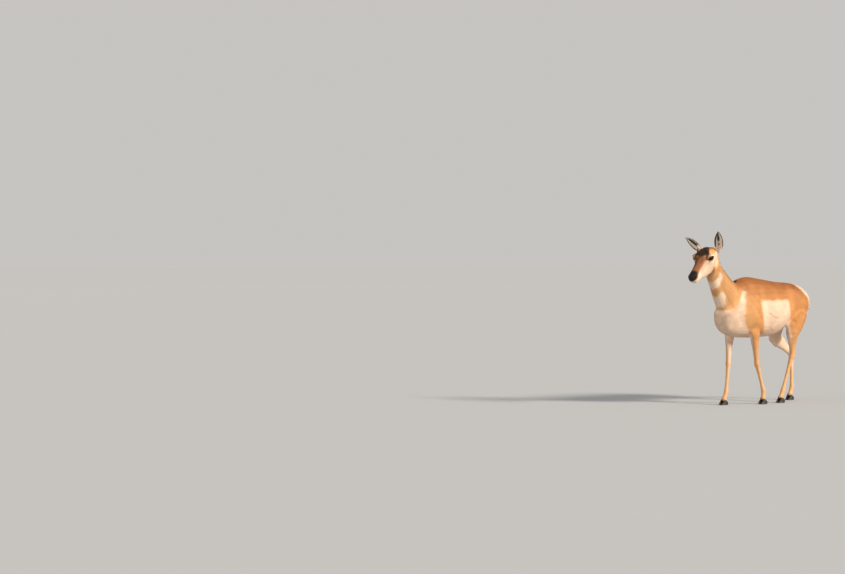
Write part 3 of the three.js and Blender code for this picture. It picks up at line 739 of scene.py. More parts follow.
def body_tint(points, normals):
    forward, left, up = body_places(points)
    side = np.abs(left)
    rise = normals[:, 2]
    colour = mixed(TAN, TAN_BACK, eased(rise, 0.0, 0.85) * 0.9 * (1 - eased(up, 0.94, 1.02)))
    colour = mixed(colour, TAN_PALE, eased(forward, 0.12, 0.3) * (1 - eased(rise, 0.2, 0.7)) * 0.45)
    colour = mixed(colour, TAN_BACK, eased(-forward, 0.14, 0.26) * 0.22)
    flank = np.minimum(np.interp(up, FLANK_UP, FLANK_FRONT) - forward, FLANK_TOP - up)
    flank = np.minimum(flank, forward - np.interp(up, FLANK_UP, FLANK_BACK))
    belly = np.minimum(0.53 - up, 0.07 - side)
    chest = np.interp(forward, CHEST_FORWARD, CHEST_TOP) - up
    chest = np.minimum(forward - np.interp(up, CHEST_UP, CHEST_BACK), chest)
    under = np.minimum(0.495 - up, forward - 0.02)
    pale = np.maximum(np.maximum(flank, belly), np.maximum(chest, under))
    rump = np.interp(up, RUMP_UP, RUMP_EDGE) - forward
    spine = eased(up, 0.72, 0.76) * (1 - eased(side, 0.006, 0.022))
    bands = np.maximum(inside(UPPER_BAND, forward, up), inside(LOWER_BAND, forward, up))
    bands = np.where(up > 0.62, bands, -1)
    ragged = 0.0035 * swirl(points, 0.012, 21) + 0.002 * swirl(points, 0.005, 22)
    colour = mixed(colour, CREAM, eased(pale + ragged, -0.010, 0.009))
    colour = mixed(colour, WHITE, eased(bands + ragged * 0.7, -0.007, 0.007))
    colour = mixed(colour, WHITE, eased(rump + ragged * 0.7, -0.007, 0.007) * (1 - spine))
    throat = forward - np.interp(up, [0.68, 0.80, 0.9, 1.0], [0.515, 0.565, 0.600, 0.635])
    throat = eased(throat, -0.01, 0.012)
    colour = mixed(colour, CREAM, throat * 0.35 * (1 - eased(up, 0.93, 0.97)))
    wide = 1 + 1.6 * eased(up, 1.03, 1.07)
    nape = 1 - eased(distance_to_line(points, NAPE_LINE) / wide, 0.008, 0.02)
    return mixed(colour, UMBER * 0.6, nape * 0.92)


LEG_LINES = {
    "foreleg_left": [(0.235, 0.062, 0.70), (0.176, 0.082, 0.506), (0.132, 0.073, 0.282),
                     (0.052, 0.068, 0.086), (0.06, 0.068, 0)],
    "foreleg_right": [(0.275, -0.062, 0.70), (0.238, -0.082, 0.51), (0.266, -0.072, 0.284),
                      (0.297, -0.066, 0.086), (0.326, -0.066, 0)],
    "hindleg_left": [(-0.33, 0.076, 0.75), (-0.246, 0.092, 0.5), (-0.262, 0.074, 0.328),
                     (-0.168, 0.068, 0.086), (-0.138, 0.068, 0)],
    "hindleg_right": [(-0.33, -0.076, 0.75), (-0.276, -0.092, 0.458), (-0.452, -0.074, 0.322),
                      (-0.446, -0.066, 0.09), (-0.418, -0.066, 0)],
}


def leg_frame(name, up):
    line = np.array(LEG_LINES[name])[::-1]
    middle = np.stack([np.interp(up, line[:, 2], line[:, k]) for k in (0, 1)] + [up], 1)
    low = np.stack([np.interp(up - 0.02, line[:, 2], line[:, k]) for k in (0, 1)] + [up - 0.02], 1)
    way = (low - middle) * np.array([-1, -1, 1])
    return middle * np.array([-1, -1, 1]) + MIDDLE, way / np.linalg.norm(way, axis=1, keepdims=True)


def leg_tint(points, normals, hand, fore):
    forward, left, up = body_places(points)
    outward = normals @ np.array([0, -1.0 if hand == "left" else 1.0, 0])
    turn = np.degrees(np.arctan2(outward, -normals[:, 0]))
    if fore:
        edge = np.interp(up, [0.08, 0.28, 0.38, 0.46, 0.52], [-60, -40, 0, 18, 30])
        fade = eased(up, 0.16, 0.40) * 0.85 + 0.15
    else:
        edge = np.interp(up, [0.1, 0.27, 0.32, 0.38, 0.43, 0.5, 0.56], [-60, -35, -15, 5, 18, 30, 40])
        fade = eased(up, 0.14, 0.34) * 0.85 + 0.15
    colour = mixed(TAN, TAN_PALE, 1 - eased(up, 0.1, 0.62))
    pale = eased(edge - turn, -12, 12) * eased(turn + 165, -10, 10)
    if not fore:
        ahead = forward - body_places(leg_frame("hindleg_" + hand, up)[0])[0]
        line = np.interp(up, [0.27, 0.323, 0.38, 0.431, 0.474, 0.517, 0.559, 0.62],
                         [0.024, 0.0215, 0.024, 0.032, 0.036, 0.049, 0.064, 0.075])
        pale = np.maximum(eased(ahead - line, -0.007, 0.007), eased(-outward, 0.0, 0.4))
    pale = pale * fade
    colour = mixed(colour, CREAM, pale)
    if not fore:
        rump = np.interp(up, RUMP_UP, RUMP_EDGE) - forward
        colour = mixed(colour, WHITE, eased(rump, -0.008, 0.008) * eased(up, 0.5, 0.56))
    return mixed(colour, UMBER, (1 - eased(up, 0.035, 0.052)) * 0.5)


CREAM_EDGE_ALONG = [48, 62, 84, 104, 127, 135, 156, 176, 212, 238, 258, 275, 300]
CREAM_EDGE_OUT = [34, 38, 52, 58, 47, 41, 35, 27, 21, 18, 12, 3, -6]
EAR_STRIPE = [(4, 34), (28, 30), (45, 26), (58, 14), (66, 0), (84, -34), (78, -60), (56, -76)]
EAR_STRIPE += [(34, -62), (18, -46), (10, -20), (6, 10)]
CROWN = [(-34, -60), (-34, 20), (0, 25), (20, 24), (48, 26), (72, 27), (86, 44), (98, 53)]
CROWN += [(127, 47), (131, 38), (113, 34), (124, 18), (132, 0), (132, -60)]
NOSE_ALONG = [250, 258, 262, 275, 288, 308, 322]
NOSE_OUT = [40, 30, 19, 15, 8, -4, -9]
# Under the back edge of the jaw: a dark line, partly dark hair and partly painted shade under the jaw.
JAW_SHADE_LINE = [(70, -66), (83, -86), (99, -102), (114, -111), (134, -107)]


def head_tint(points):
    along, left, out = head_places(points)
    side = np.abs(left)
    colour = mixed(TAN, TAN_PALE, eased(along, 30, 80) * 0.4)
    colour = mixed(colour, RUFOUS, eased(along, 112, 135) * 0.9)
    rear = np.interp(out, [-110, -100, -80, -57, -34, 0, 20, 60], [104, 96, 85, 78, 81, 64, 48, 46])
    cheek = np.minimum(np.interp(along, CREAM_EDGE_ALONG, CREAM_EDGE_OUT) - out, along - rear)
    brow = np.minimum(np.minimum(side - 50, along - 84), 128 - along)
    cheek = np.where(out > 40, np.minimum(cheek, brow), cheek)
    stripe = np.where(side > 26, inside(EAR_STRIPE, along, out), -9)
    cheek_share = np.maximum(eased(cheek, -9, 9) * 0.66, eased(cheek, 4, 34) * (along > 70))
    around_eye = np.minimum(np.hypot((along - 103) / 34, (out - 30) / 30), 9)
    cheek_share = np.maximum(cheek_share, eased(cheek, -3, 3) * (1 - eased(around_eye, 0.8, 1.25)))
    colour = mixed(colour, CREAM, np.maximum(cheek_share, eased(stripe, -3, 3)))
    colour = mixed(colour, WHITE, eased(along, 212, 246) * eased(cheek, 0, 12))
    streak = 1 - eased(np.hypot((side - 19) / 5, (along - 156) / 22), 0.6, 1.3)
    # Her right side of the face, from the eye down to the nose, is painted darker: partly a dark marking
    # and partly painted shade, as that side is turned from the key lamp.
    far_side_shade = eased(-left, 5, 10) * eased(along, 118, 132) * eased(out, 8, 16)
    colour = mixed(colour, UMBER, streak * 0.55 * (out > 10))
    colour = mixed(colour, (UMBER + BLACK) / 2, far_side_shade * 0.5)
    crown = np.where(out > 30 - 30 * (along < 4), inside(CROWN, along, side), -9)
    crown = crown + 3.5 * swirl(points, 0.012, 23) + 2 * swirl(points, 0.005, 24)
    colour = mixed(colour, BLACK, eased(crown, -3, 5) * 0.95)
    bridge_end = eased(along, 228, 264) * eased(out, 12, 26)
    colour = mixed(colour, UMBER, bridge_end * 0.75)
    nose = np.minimum(out - np.interp(along, NOSE_ALONG, NOSE_OUT), along - 258)
    colour = mixed(colour, BLACK, eased(nose, -5, 4))
    lip = out - lip_line(along)
    colour = mixed(colour, BLACK, (1 - eased(np.abs(lip), 1.0, 2.6)) * eased(along, 236, 244) * 0.9)
    # Painted shade with some dark hair: a dark line under the jaw's back edge.
    jaw_shade = 1 - eased(distance_in_profile(along, out, JAW_SHADE_LINE), 3, 8)
    colour = mixed(colour, UMBER, jaw_shade * 0.75 * (side < 48))
    for hand in SIDES:
        rim, up_lid, nose_way, radius = lid_distance(points, hand)
        close = radius < 40
        colour = mixed(colour, BLACK, (1 - eased(rim, 1.0, 2.6)) * close)
        line = np.abs(up_lid - 3 - 0.16 * nose_way)
        line = line + np.maximum(0, -nose_way - 38) + np.maximum(0, nose_way + 16)
        colour = mixed(colour, BLACK, (1 - eased(line, 2.2, 5)) * close * 0.9)
        tear = np.hypot(nose_way - 17, (up_lid + 15) / 1.6)
        colour = mixed(colour, UMBER, (1 - eased(tear, 2, 4.5)) * close * 0.8)
    return colour


STRIPE_SHARE = [0.2, 0.45, 0.7, 0.9]


def ear_tint(points, normals, name):
    share, across, forward = ear_places(points, name)
    front = ear_frame(name)[2]
    half = np.interp(share, EAR_SHARE, EAR_HALF)
    edge = half - np.abs(across)
    facing = eased(normals @ front, -0.15, 0.25)
    back = mixed(TAN, UMBER, eased(share, 0.45, 0.9) * 0.8)
    dark = np.maximum(1 - eased(edge, 2, 6), eased(share, 0.82, 0.95)) * eased(share, 0.12, 0.30)
    back = mixed(back, BLACK, dark * 0.9)
    # The inside is the ears' white hair, brightened with painted light.
    inner = mixed(EAR_WHITE_LIT, PINK, (1 - eased(share, 0.1, 0.4)) * 0.3)
    if name == "ear_left":
        width = np.interp(share, STRIPE_SHARE, [5, 8, 10, 4])
        middle = 1 - eased(np.abs(across + 3) / width, 0.6, 1.2)
        spot = 1 - eased(np.abs(share - 0.40), 0.03, 0.07)
        patch = np.maximum(eased(share, 0.48, 0.58) * (1 - eased(share, 0.86, 0.92)), spot)
        rim = 4.4 + 5.5 * (across < 0) * eased(share, 0.2, 0.5)
    else:
        # Her right ear's dark middle is wider than the left's: its dark patch, with painted shade added
        # inside the cup, which opens away from the lamp.
        width = np.interp(share, STRIPE_SHARE, [6, 14, 14, 6])
        middle = 1 - eased(np.abs(across - 2) / width, 0.6, 1.1)
        patch = eased(share, 0.28, 0.42) * (1 - eased(share, 0.86, 0.94))
        rim = np.where(across > 0, 1.6, 5.0)
    inner = mixed(inner, BLACK, middle * patch * 0.96)
    inner = mixed(inner, BLACK, (1 - eased(edge, rim - 2.2, rim + 1.2)) * eased(share, 0.16, 0.34) * 0.97)
    return mixed(back, inner, facing)


def hide_tint(points, normals, owner):
    """The colour of skin and coat at each place."""
    colour = body_tint(points, normals)
    tail_side = np.abs(body_places(points)[1])
    tail_up = points[:, 2]
    tail_stripe = (1 - eased(tail_side, 0.005, 0.012)) * eased(tail_up, 0.66, 0.74)
    brush = mixed(WHITE, UMBER, tail_stripe)
    brush = mixed(brush, BLACK, (1 - eased(tail_up, 0.655, 0.69)) * 0.9)
    colour = np.where((owner == part["tail"])[:, None], brush, colour)
    heading = head_tint(points)
    along, left, out = head_places(points)
    top_of_neck = (owner == part["neck"]) & (along > -20) & (out > -125) & (along < 150)
    near_head = (owner == part["head"]) | top_of_neck
    blend = np.where(owner == part["head"], 1.0, eased(along, 5, 30) * eased(out, -125, -105))
    colour = np.where(near_head[:, None], mixed(colour, heading, blend), colour)
    for name in EARS:
        share = ear_places(points, name)[0]
        mine = owner == part[name]
        blended = mixed(colour, ear_tint(points, normals, name), eased(share, 0.0, 0.14))
        colour = np.where(mine[:, None], blended, colour)
    for name in LEG_LINES:
        mine = owner == part[name]
        fore = name.startswith("fore")
        shown = leg_tint(points, normals, name.split("_")[1], fore)
        top = eased(points[:, 2], 0.50, 0.56) if fore else eased(points[:, 2], 0.60, 0.68)
        colour = np.where(mine[:, None], mixed(shown, colour, top), colour)
    return colour


skin_colour = hide_tint(skin.points, skin_normals, owner)
skin_colour = skin.blurred(skin_colour, 0.4, 2)

# Lie of the coat. Hair runs from nose to tail and down the legs, and spreads down and outward over
# the rump.
NECK_DOWN = unit(on_animal(-0.24, 0, -0.36) - MIDDLE)


def lie_of_coat(points, owner):
    forward, left, up = body_places(points)
    lie = np.tile(np.array([1.0, 0, -0.22]), (len(points), 1))
    chest = eased(forward, 0.3, 0.44)[:, None]
    lie = lie * (1 - chest) + np.array([0.35, 0, -1.0]) * chest
    rump = eased(-forward, 0.36, 0.45)[:, None]
    one = np.ones(len(points))
    spread = np.stack([0.15 * one, -0.9 * np.sign(left) * eased(np.abs(left), 0.01, 0.05), -one], 1)
    lie = lie * (1 - rump) + spread * rump
    lie[owner == part["neck"]] = NECK_DOWN
    lie[owner == part["head"]] = head_axes @ np.array([-1.0, 0, -0.12])
    lie[owner == part["tail"]] = (0.25, 0, -1.0)
    for name in EARS:
        lie[owner == part[name]] = ear_frame(name)[1]
    for name in LEG_LINES:
        mine = owner == part[name]
        lie[mine] = leg_frame(name, points[mine, 2])[1]
    return lie


lie = skin.blurred(lie_of_coat(skin.points, owner), 0.6, 30)
lie = lie - skin_normals * (lie * skin_normals).sum(1, keepdims=True)
lie /= np.linalg.norm(lie, axis=1, keepdims=True) + 1e-9

# The flat pattern of the hide. Each part of the skin is unrolled about its own middle line into a
# place of its own on a square, and every tuft takes a small patch of that square where it is
# rooted.
PATTERN = {
    "torso": (0.01, 0.01, 0.45, 0.46),
    "head": (0.47, 0.01, 0.80, 0.40),
    "neck": (0.47, 0.42, 0.80, 0.68),
    "foreleg_left": (0.01, 0.48, 0.22, 0.98),
    "foreleg_right": (0.24, 0.48, 0.45, 0.98),
    "hindleg_left": (0.47, 0.70, 0.98, 0.83),
    "hindleg_right": (0.47, 0.85, 0.98, 0.98),
    "ear_left": (0.82, 0.01, 0.98, 0.30),
    "ear_right": (0.82, 0.32, 0.98, 0.60),
    "tail": (0.82, 0.62, 0.98, 0.68),
}


def unrolled(points, name):
    """Share along the part, and the turn round it from 0 to 1, of each place."""
    forward, left, up = body_places(points)
    if name == "torso":
        return (forward + 0.50) / 0.98, np.arctan2(left, up - 0.66) / math.tau
    if name == "neck":
        middle = on_animal(0.33, 0.0, 0.72)
        height = (points - middle) @ -NECK_DOWN
        nape = unit(on_animal(-0.36, 0, 0.24) - MIDDLE)
        away = points - middle + np.outer(height, NECK_DOWN)
        return (height + 0.08) / 0.60, np.arctan2(left - 0.008, away @ nape) / math.tau
    if name == "head":
        along, aside, out = head_places(points)
        return (along + 12) / 340, np.arctan2(aside, out + 10) / math.tau
    if name == "tail":
        return (0.80 - up) / 0.18, np.arctan2(left, -forward - 0.47 - (0.772 - up) * 0.2) / math.tau
    if name in EARS:
        share, across, depth = ear_places(points, name)
        return np.clip((share + 0.06) / 1.12, 0, 1), across / 70
    middle = leg_frame(name, up)[0]
    inward = 1 if name.endswith("left") else -1
    turn = np.arctan2(middle[:, 0] - points[:, 0], inward * (middle[:, 1] - points[:, 1])) / math.tau
    return (0.76 - up) / 0.78, turn


face_owner = owner[skin.faces[:, 0]]
face_middle = skin.points[skin.faces].mean(1)
corner = skin.points[skin.faces]
face_normal = np.cross(corner[:, 1] - corner[:, 0], corner[:, 2] - corner[:, 0])
face_area = np.linalg.norm(face_normal, axis=1) / 2
pattern = np.zeros((len(skin.faces), 3, 2))
for name, (u0, v0, u1, v1) in PATTERN.items():
    mine = np.where(face_owner == part[name])[0]
    share, turn = unrolled(corner[mine].reshape(-1, 3), name)
    middle_turn = np.repeat(unrolled(face_middle[mine], name)[1], 3)
    if name in EARS:
        front = ear_frame(name)[2]
        inner = np.repeat(face_normal[mine] @ front > 0, 3)
        turn = np.clip(turn + 0.5, 0.02, 0.98) * 0.48 + np.where(inner, 0.51, 0.01)
    else:
        turn = turn - np.round(turn - middle_turn)
        turn = (turn + 0.5) * 0.96 + 0.02
    turn = np.clip(turn, 0, 1)
    share = np.clip(share, 0, 1)
    wide = u1 - u0 > v1 - v0
    first, second = (share, turn) if wide else (turn, share)
    place = np.stack([u0 + (u1 - u0) * first, v0 + (v1 - v0) * second], 1)
    pattern[mine] = place.reshape(-1, 3, 2)


def give_pattern(mesh, places):
    layer = mesh.uv_layers.new(name="OFBake")
    layer.data.foreach_set("uv", np.asarray(places, np.float32).ravel())


def shade_smooth(obj, material):
    obj.data.polygons.foreach_set("use_smooth", [True] * len(obj.data.polygons))
    obj.data.materials.append(material)


def give_colour(mesh, colours):
    layer = mesh.color_attributes.new("hide_tint", "FLOAT_COLOR", "POINT")
    solid = np.concatenate([colours, np.ones((len(colours), 1))], 1)
    layer.data.foreach_set("color", solid.astype(np.float32).ravel())


SPREAD_OUT = {"torso": (0.98, 0.95), "neck": (0.6, 0.5), "head": (0.34, 0.38)}
strand = np.zeros((len(skin.points), 3))
for name in FLESH:
    mine = owner == part[name]
    share, turn = unrolled(skin.points[mine], name)
    length, girth = SPREAD_OUT.get(name, (0.5, 0.25))
    strand[mine] = np.stack([share * length, turn * girth, np.zeros(mine.sum())], 1)

hide = mesh_object("hide", skin.points, skin.faces)
give_pattern(hide.data, pattern)
give_colour(hide.data, skin_colour)
strands = hide.data.attributes.new("strand", "FLOAT_VECTOR", "POINT")
strands.data.foreach_set("vector", strand.astype(np.float32).ravel())

fur_skin = Finish("short_fur_on_hide", Roughness=0.72, Specular_IOR_Level=0.2,
                  Sheen_Weight=0.04, Sheen_Roughness=0.4)
marks = fur_skin.add("Attribute", "Color", {"attribute_name": "hide_tint"})
run = fur_skin.add("Attribute", "Vector", {"attribute_name": "strand"})
drawn_out = fur_skin.add("Mapping", Vector=run, Scale=(70, 620, 1))
hairs = fur_skin.add("TexNoise", Vector=drawn_out, Scale=1, Detail=3)
patches = fur_skin.add("TexNoise", Vector=fur_skin.add("TexCoord", "Object"), Scale=26, Detail=4)
streaked = fur_skin.varied(marks, hairs, 0.80, 1.10, 0.3, 0.7)
fur_skin.raised(hairs, 0.5, 0.0008)
shade_smooth(hide, fur_skin.paint(fur_skin.varied(streaked, patches, 0.93, 1.05, 0.3, 0.7)))

NOSE_PAD_FROM = 294
leather = Finish("moist_nose_leather", Roughness=0.5, Specular_IOR_Level=0.3)
pebbles = leather.add("TexVoronoi", "Distance", Vector=leather.add("TexCoord", "Object"), Scale=620)
leather.raised(pebbles, 0.5, 0.0005, sunk=True)
hide.data.materials.append(leather.paint(leather.ramp(pebbles, tint(25, 20, 19), tint(10, 8, 8))))
face_along, face_left, face_out = head_places(face_middle)
in_black = face_out - np.interp(face_along, NOSE_ALONG, NOSE_OUT)
on_face = face_owner == part["head"]
on_pad = on_face & (face_along > NOSE_PAD_FROM) & (in_black > 3.5)
hide.data.polygons.foreach_set("material_index", on_pad.astype(np.int32))
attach(hide, "root")
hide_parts(*FLESH)

# The coat. Stiff short guard hairs lie in thin tufts that overlap like thatch, each rooted in the
# hide. They are short on face and legs, longer on the back and neck, and longest on the white rump.
draw = np.random.default_rng(5)
BODY_HAIR, NECK_HAIR = 15.0, 14.0


def hair_length(points, owner):
    """In metres; written in millimetres."""
    forward, left, up = body_places(points)
    length = np.where(owner == part["neck"], NECK_HAIR, BODY_HAIR)
    rump = np.interp(up, RUMP_UP, RUMP_EDGE) - forward
    length = np.where((owner == part["torso"]) & (rump > 0), 22 + 4 * eased(rump, 0, 0.05), length)
    on_leg = np.interp(up, [0.05, 0.075, 0.3, 0.55], [14, 7, 7, 13])
    length = np.where(owner >= FIRST_LEG, on_leg, length)
    length = np.where(owner == part["tail"], np.interp(up, [0.64, 0.70], [24, 22]), length)
    for name in EARS:
        share, across, depth = ear_places(points, name)
        edge = np.interp(share, EAR_SHARE, EAR_HALF) - np.abs(across)
        length = np.where(owner == part[name], np.interp(edge, [2, 5, 11], [6, 11, 7]), length)
    on_face = np.interp(head_places(points)[0], [0, 60, 140, 230, 260], [10, 7.5, 7, 4.5, 3.2])
    return np.where(owner == part["head"], on_face, length) / 1000


TUFTS_PER_AREA = {"torso": 192000, "neck": 270000, "head": 430000, "tail": 200000}
TUFTS_PER_AREA |= {"ear_left": 330000, "ear_right": 330000, "foreleg_left": 270000}
TUFTS_PER_AREA |= {"foreleg_right": 270000, "hindleg_left": 195000, "hindleg_right": 195000}
thick = np.array([TUFTS_PER_AREA[name] for name in FLESH])[face_owner].astype(float)
bare = on_pad | (on_face & (np.abs(face_out - lip_line(face_along)) < 2.5) & (face_along > 238))
for hand in SIDES:
    rim, up, nose, radius = lid_distance(face_middle, hand)
    bare |= on_face & (radius < 40) & (rim < 3.5)
thick[bare] = 0
expected = face_area * thick * 1
roots_per_face = np.floor(expected + draw.random(len(skin.faces))).astype(int)
root_face = np.repeat(np.arange(len(skin.faces)), roots_per_face)
first = draw.random(len(root_face))
second = draw.random(len(root_face))
flip = first + second > 1
first[flip], second[flip] = 1 - first[flip], 1 - second[flip]
weight = np.stack([1 - first - second, first, second], 1)


def at_roots(corner_values):
    return (corner_values[root_face] * weight[:, :, None]).sum(1)


roots = at_roots(skin.points[skin.faces])
root_normal = at_roots(skin_normals[skin.faces])
root_normal /= np.linalg.norm(root_normal, axis=1, keepdims=True)
root_lie = at_roots(lie[skin.faces])
in_tail = face_owner[root_face] == part["tail"]
hanging = root_normal * np.array([1, 1, 0]) + np.array([0.12, 0, 0])
hanging /= np.linalg.norm(hanging, axis=1, keepdims=True)
root_normal[in_tail] = hanging[in_tail]
root_lie[in_tail] = (0.05, 0, -1)
root_pattern = at_roots(pattern)
root_owner = face_owner[root_face]
root_colour = at_roots(skin_colour[skin.faces])


def tuft_piece(name, root, length, width, rise, curl, levels, waver=1.0):
    """One mesh of tapered tufts of three sides, rooted just under the hide."""
    base, out, way, place, colour = root
    count = len(base)
    way = way - out * (way * out).sum(1, keepdims=True)
    way /= np.linalg.norm(way, axis=1, keepdims=True) + 1e-9
    across = np.cross(out, way)
    bend = (0.20 * swirl(base, 0.05, 3) + 0.15 * draw.normal(size=count)) * waver
    way = way * np.cos(bend)[:, None] + across * np.sin(bend)[:, None]
    across = np.cross(out, way)
    size = length * (0.75 + 0.5 * draw.random(count))
    half = width * (0.8 + 0.4 * draw.random(count)) / 2
    rise = rise * (0.5 + 1.0 * draw.random(count))
    rings = []
    steps = np.linspace(0, 1, levels + 1)
    for step in steps[:-1]:
        lift = size * rise * (step ** 0.6) * (1 - curl * step) - 0.0006 * (1 - step)
        middle = base + way * (size * step)[:, None] + out * lift[:, None]
        side = across * (half * (1 - 0.75 * step ** 1.6))[:, None]
        crest = out * (half * 0.35 * (1 - 0.6 * step))[:, None]
        rings += [middle + side, middle - side, middle + crest]
    tip = base + way * size[:, None] + out * (size * rise * (1 - curl))[:, None]
    points = np.stack(rings + [tip], 1)
    per = points.shape[1]
    faces = [(0, 1, 2)]
    for level in range(levels - 1):
        low = level * 3
        for k in range(3):
            after = (k + 1) % 3
            a, b, c, d = low + k, low + after, low + 3 + after, low + 3 + k
            faces += [(a, c, b), (a, d, c)]
    last = (levels - 1) * 3
    faces += [(last + k, per - 1, last + (k + 1) % 3) for k in range(3)]
    faces = np.array(faces)
    all_faces = (faces[None] + (np.arange(count) * per)[:, None, None]).reshape(-1, 3)
    obj = mesh_object(name, points.reshape(-1, 3), all_faces)
    level_of = np.minimum(np.arange(per) // 3, levels) / levels
    side_of = np.array([0.0, 1.0, 0.5] * levels + [0.5])
    spot = np.stack([level_of, side_of], 1)[faces] * 0.003 - 0.0015
    give_pattern(obj.data, (place[:, None, None] + spot[None]).reshape(-1, 2))
    vary = 1 + 0.07 * draw.normal(size=count) + 0.07 * swirl(base, 0.02, 8)
    colour = colour * np.clip(vary, 0.6, 1.35)[:, None]
    shade = np.repeat(np.interp(steps, [0, 0.35, 1], [0.88, 0.97, 1.05]), [3] * levels + [1])
    give_colour(obj.data, (colour[:, None] * shade[None, :, None]).reshape(-1, 3))
    shade_smooth(obj, guard_hair)
    lean = np.array([0.22, -0.22, 0.0] * levels + [0.0])
    facing = out[:, None] + across[:, None] * lean[None, :, None]
    facing = facing / np.linalg.norm(facing, axis=2, keepdims=True)
    obj.data.normals_split_custom_set_from_vertices(facing.reshape(-1, 3))
    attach(obj, "root")


def picked_roots(picked, colour=None):
    tints = root_colour[picked] if colour is None else np.tile(colour, (len(picked), 1))
    return roots[picked], root_normal[picked], root_lie[picked], root_pattern[picked], tints


fur_tuft = Finish("guard_hair", Roughness=0.62, Specular_IOR_Level=0.18, Sheen_Weight=0.03)
marks = fur_tuft.add("Attribute", "Color", {"attribute_name": "hide_tint"})
grainy = fur_tuft.add("TexNoise", Vector=fur_tuft.add("TexCoord", "Object"), Scale=420)
guard_hair = fur_tuft.paint(fur_tuft.varied(marks, grainy, 0.88, 1.12))

root_length = hair_length(roots, root_owner)
shaded = parted(roots + root_lie * (root_length * 0.6)[:, None])
root_colour = mixed(root_colour, UMBER, shaded * 0.6)
root_forward, root_left, root_up = body_places(roots)
crown_along, crown_left, crown_out = head_places(roots)
on_crown = (crown_along > -20) & (crown_along < 76) & (np.abs(crown_left) < 34) & (crown_out > 34)
on_crown &= root_owner == part["head"]
root_colour[on_crown] *= 0.7
root_length = root_length + on_crown * 0.006 * (0.6 + 0.4 * swirl(roots, 0.01, 25))
on_torso = root_owner == part["torso"]
fore_half = root_forward > -0.02
COAT_PIECES = {
    "coat_barrel_left": on_torso & (root_left > 0) & fore_half,
    "coat_barrel_right": on_torso & (root_left <= 0) & fore_half,
    "coat_quarters_left": on_torso & (root_left > 0) & ~fore_half,
    "coat_quarters_right": on_torso & (root_left <= 0) & ~fore_half,
}
COAT_OF = {"coat_neck": ["neck"], "coat_head": ["head"], "coat_ears": ["ear_left", "ear_right"]}
COAT_OF |= {"coat_forelegs": FLESH[6:8], "coat_hindlegs": FLESH[8:], "coat_tail": ["tail"]}
for piece, names in COAT_OF.items():
    COAT_PIECES[piece] = np.isin(root_owner, [part[name] for name in names])
TUFT_WIDTH = 0.115
BODY_LIFT, FACE_LIFT, CROWN_LIFT = 0.052, 0.09, 0.30
on_rump = np.interp(root_up, RUMP_UP, RUMP_EDGE) - root_forward
on_belly = on_torso & (draw.random(len(roots)) < 1 - eased(root_up, 0.485, 0.53)) & (root_forward < 0.3)
long_haired = (on_torso & (on_rump > 0)) | on_belly
for name, chosen in COAT_PIECES.items():
    picked = np.where(chosen & ~long_haired)[0]
    length = root_length[picked]
    width = length * TUFT_WIDTH + 0.0006
    height = np.where(np.isin(root_owner[picked], [part["head"], *EAR_PARTS]), FACE_LIFT, BODY_LIFT)
    height = np.where(on_crown[picked], CROWN_LIFT, height)
    tuft_piece(name, picked_roots(picked), length, width, height, 0.1, 3 if name == "coat_tail" else 1)

# Long hair. The white hair of the rump is stiff and half as long again as the rest, and lies down
# and outward; the hair along the belly hangs a little; the mane is a dark crest of bristles from
# the poll to the withers.
LONG_HAIR_KEPT = 0.66
RUMP_LIFT = 0.13
BELLY_LENGTH, BELLY_WIDTH, BELLY_LIFT = 0.019, 0.0022, 0.17
keep = draw.random(len(roots)) < LONG_HAIR_KEPT
picked = np.where(on_torso & (on_rump > 0) & keep)[0]
length = root_length[picked]
tuft_piece("rump_hair", picked_roots(picked), length, length * 0.10 + 0.0007, RUMP_LIFT, 0.35, 3)
picked = np.where(on_belly & (on_rump <= 0) & keep)[0]
tuft_piece("belly_hair", picked_roots(picked), BELLY_LENGTH, BELLY_WIDTH, BELLY_LIFT, 0.1, 2)

MANE_TINT = tint(52, 33, 25)
off_nape = distance_to_line(roots, NAPE_LINE)
chance = hump(off_nape, 0, 0.009) * np.isin(root_owner, BODY_PARTS)
picked = np.where(draw.random(len(roots)) < chance * 0.9)[0]
rising = eased(roots[picked, 2], 0.86, 0.93)
mane_length = (0.017 + 0.012 * rising) * (0.6 + 0.4 * hump(off_nape[picked], 0, 0.006))
mane_width = mane_length * 0.07 + 0.0006
tuft_piece("mane", picked_roots(picked, MANE_TINT), mane_length, mane_width, 0.20 + 0.25 * rising, 0.2, 3)

# Eyes. Big, dark and wet balls set at the sides of the skull, with a nearly black iris round a wide
# level pupil and a front that bulges a little. Each ball faces out along its own axis, so that its
# rings run round the pupil.
EYE_RINGS = 46
EYE_SPOKES = 64

eye_wet = Finish("wet_eye", Roughness=0.2, Specular_IOR_Level=0.15, Coat_Weight=0.3, Coat_Roughness=0.03)
marks = eye_wet.add("Attribute", "Color", {"attribute_name": "hide_tint"})
flecks = eye_wet.add("TexNoise", Vector=eye_wet.add("TexCoord", "Object"), Scale=900)
wet_eye = eye_wet.paint(eye_wet.varied(marks, flecks, 0.7, 1.3))

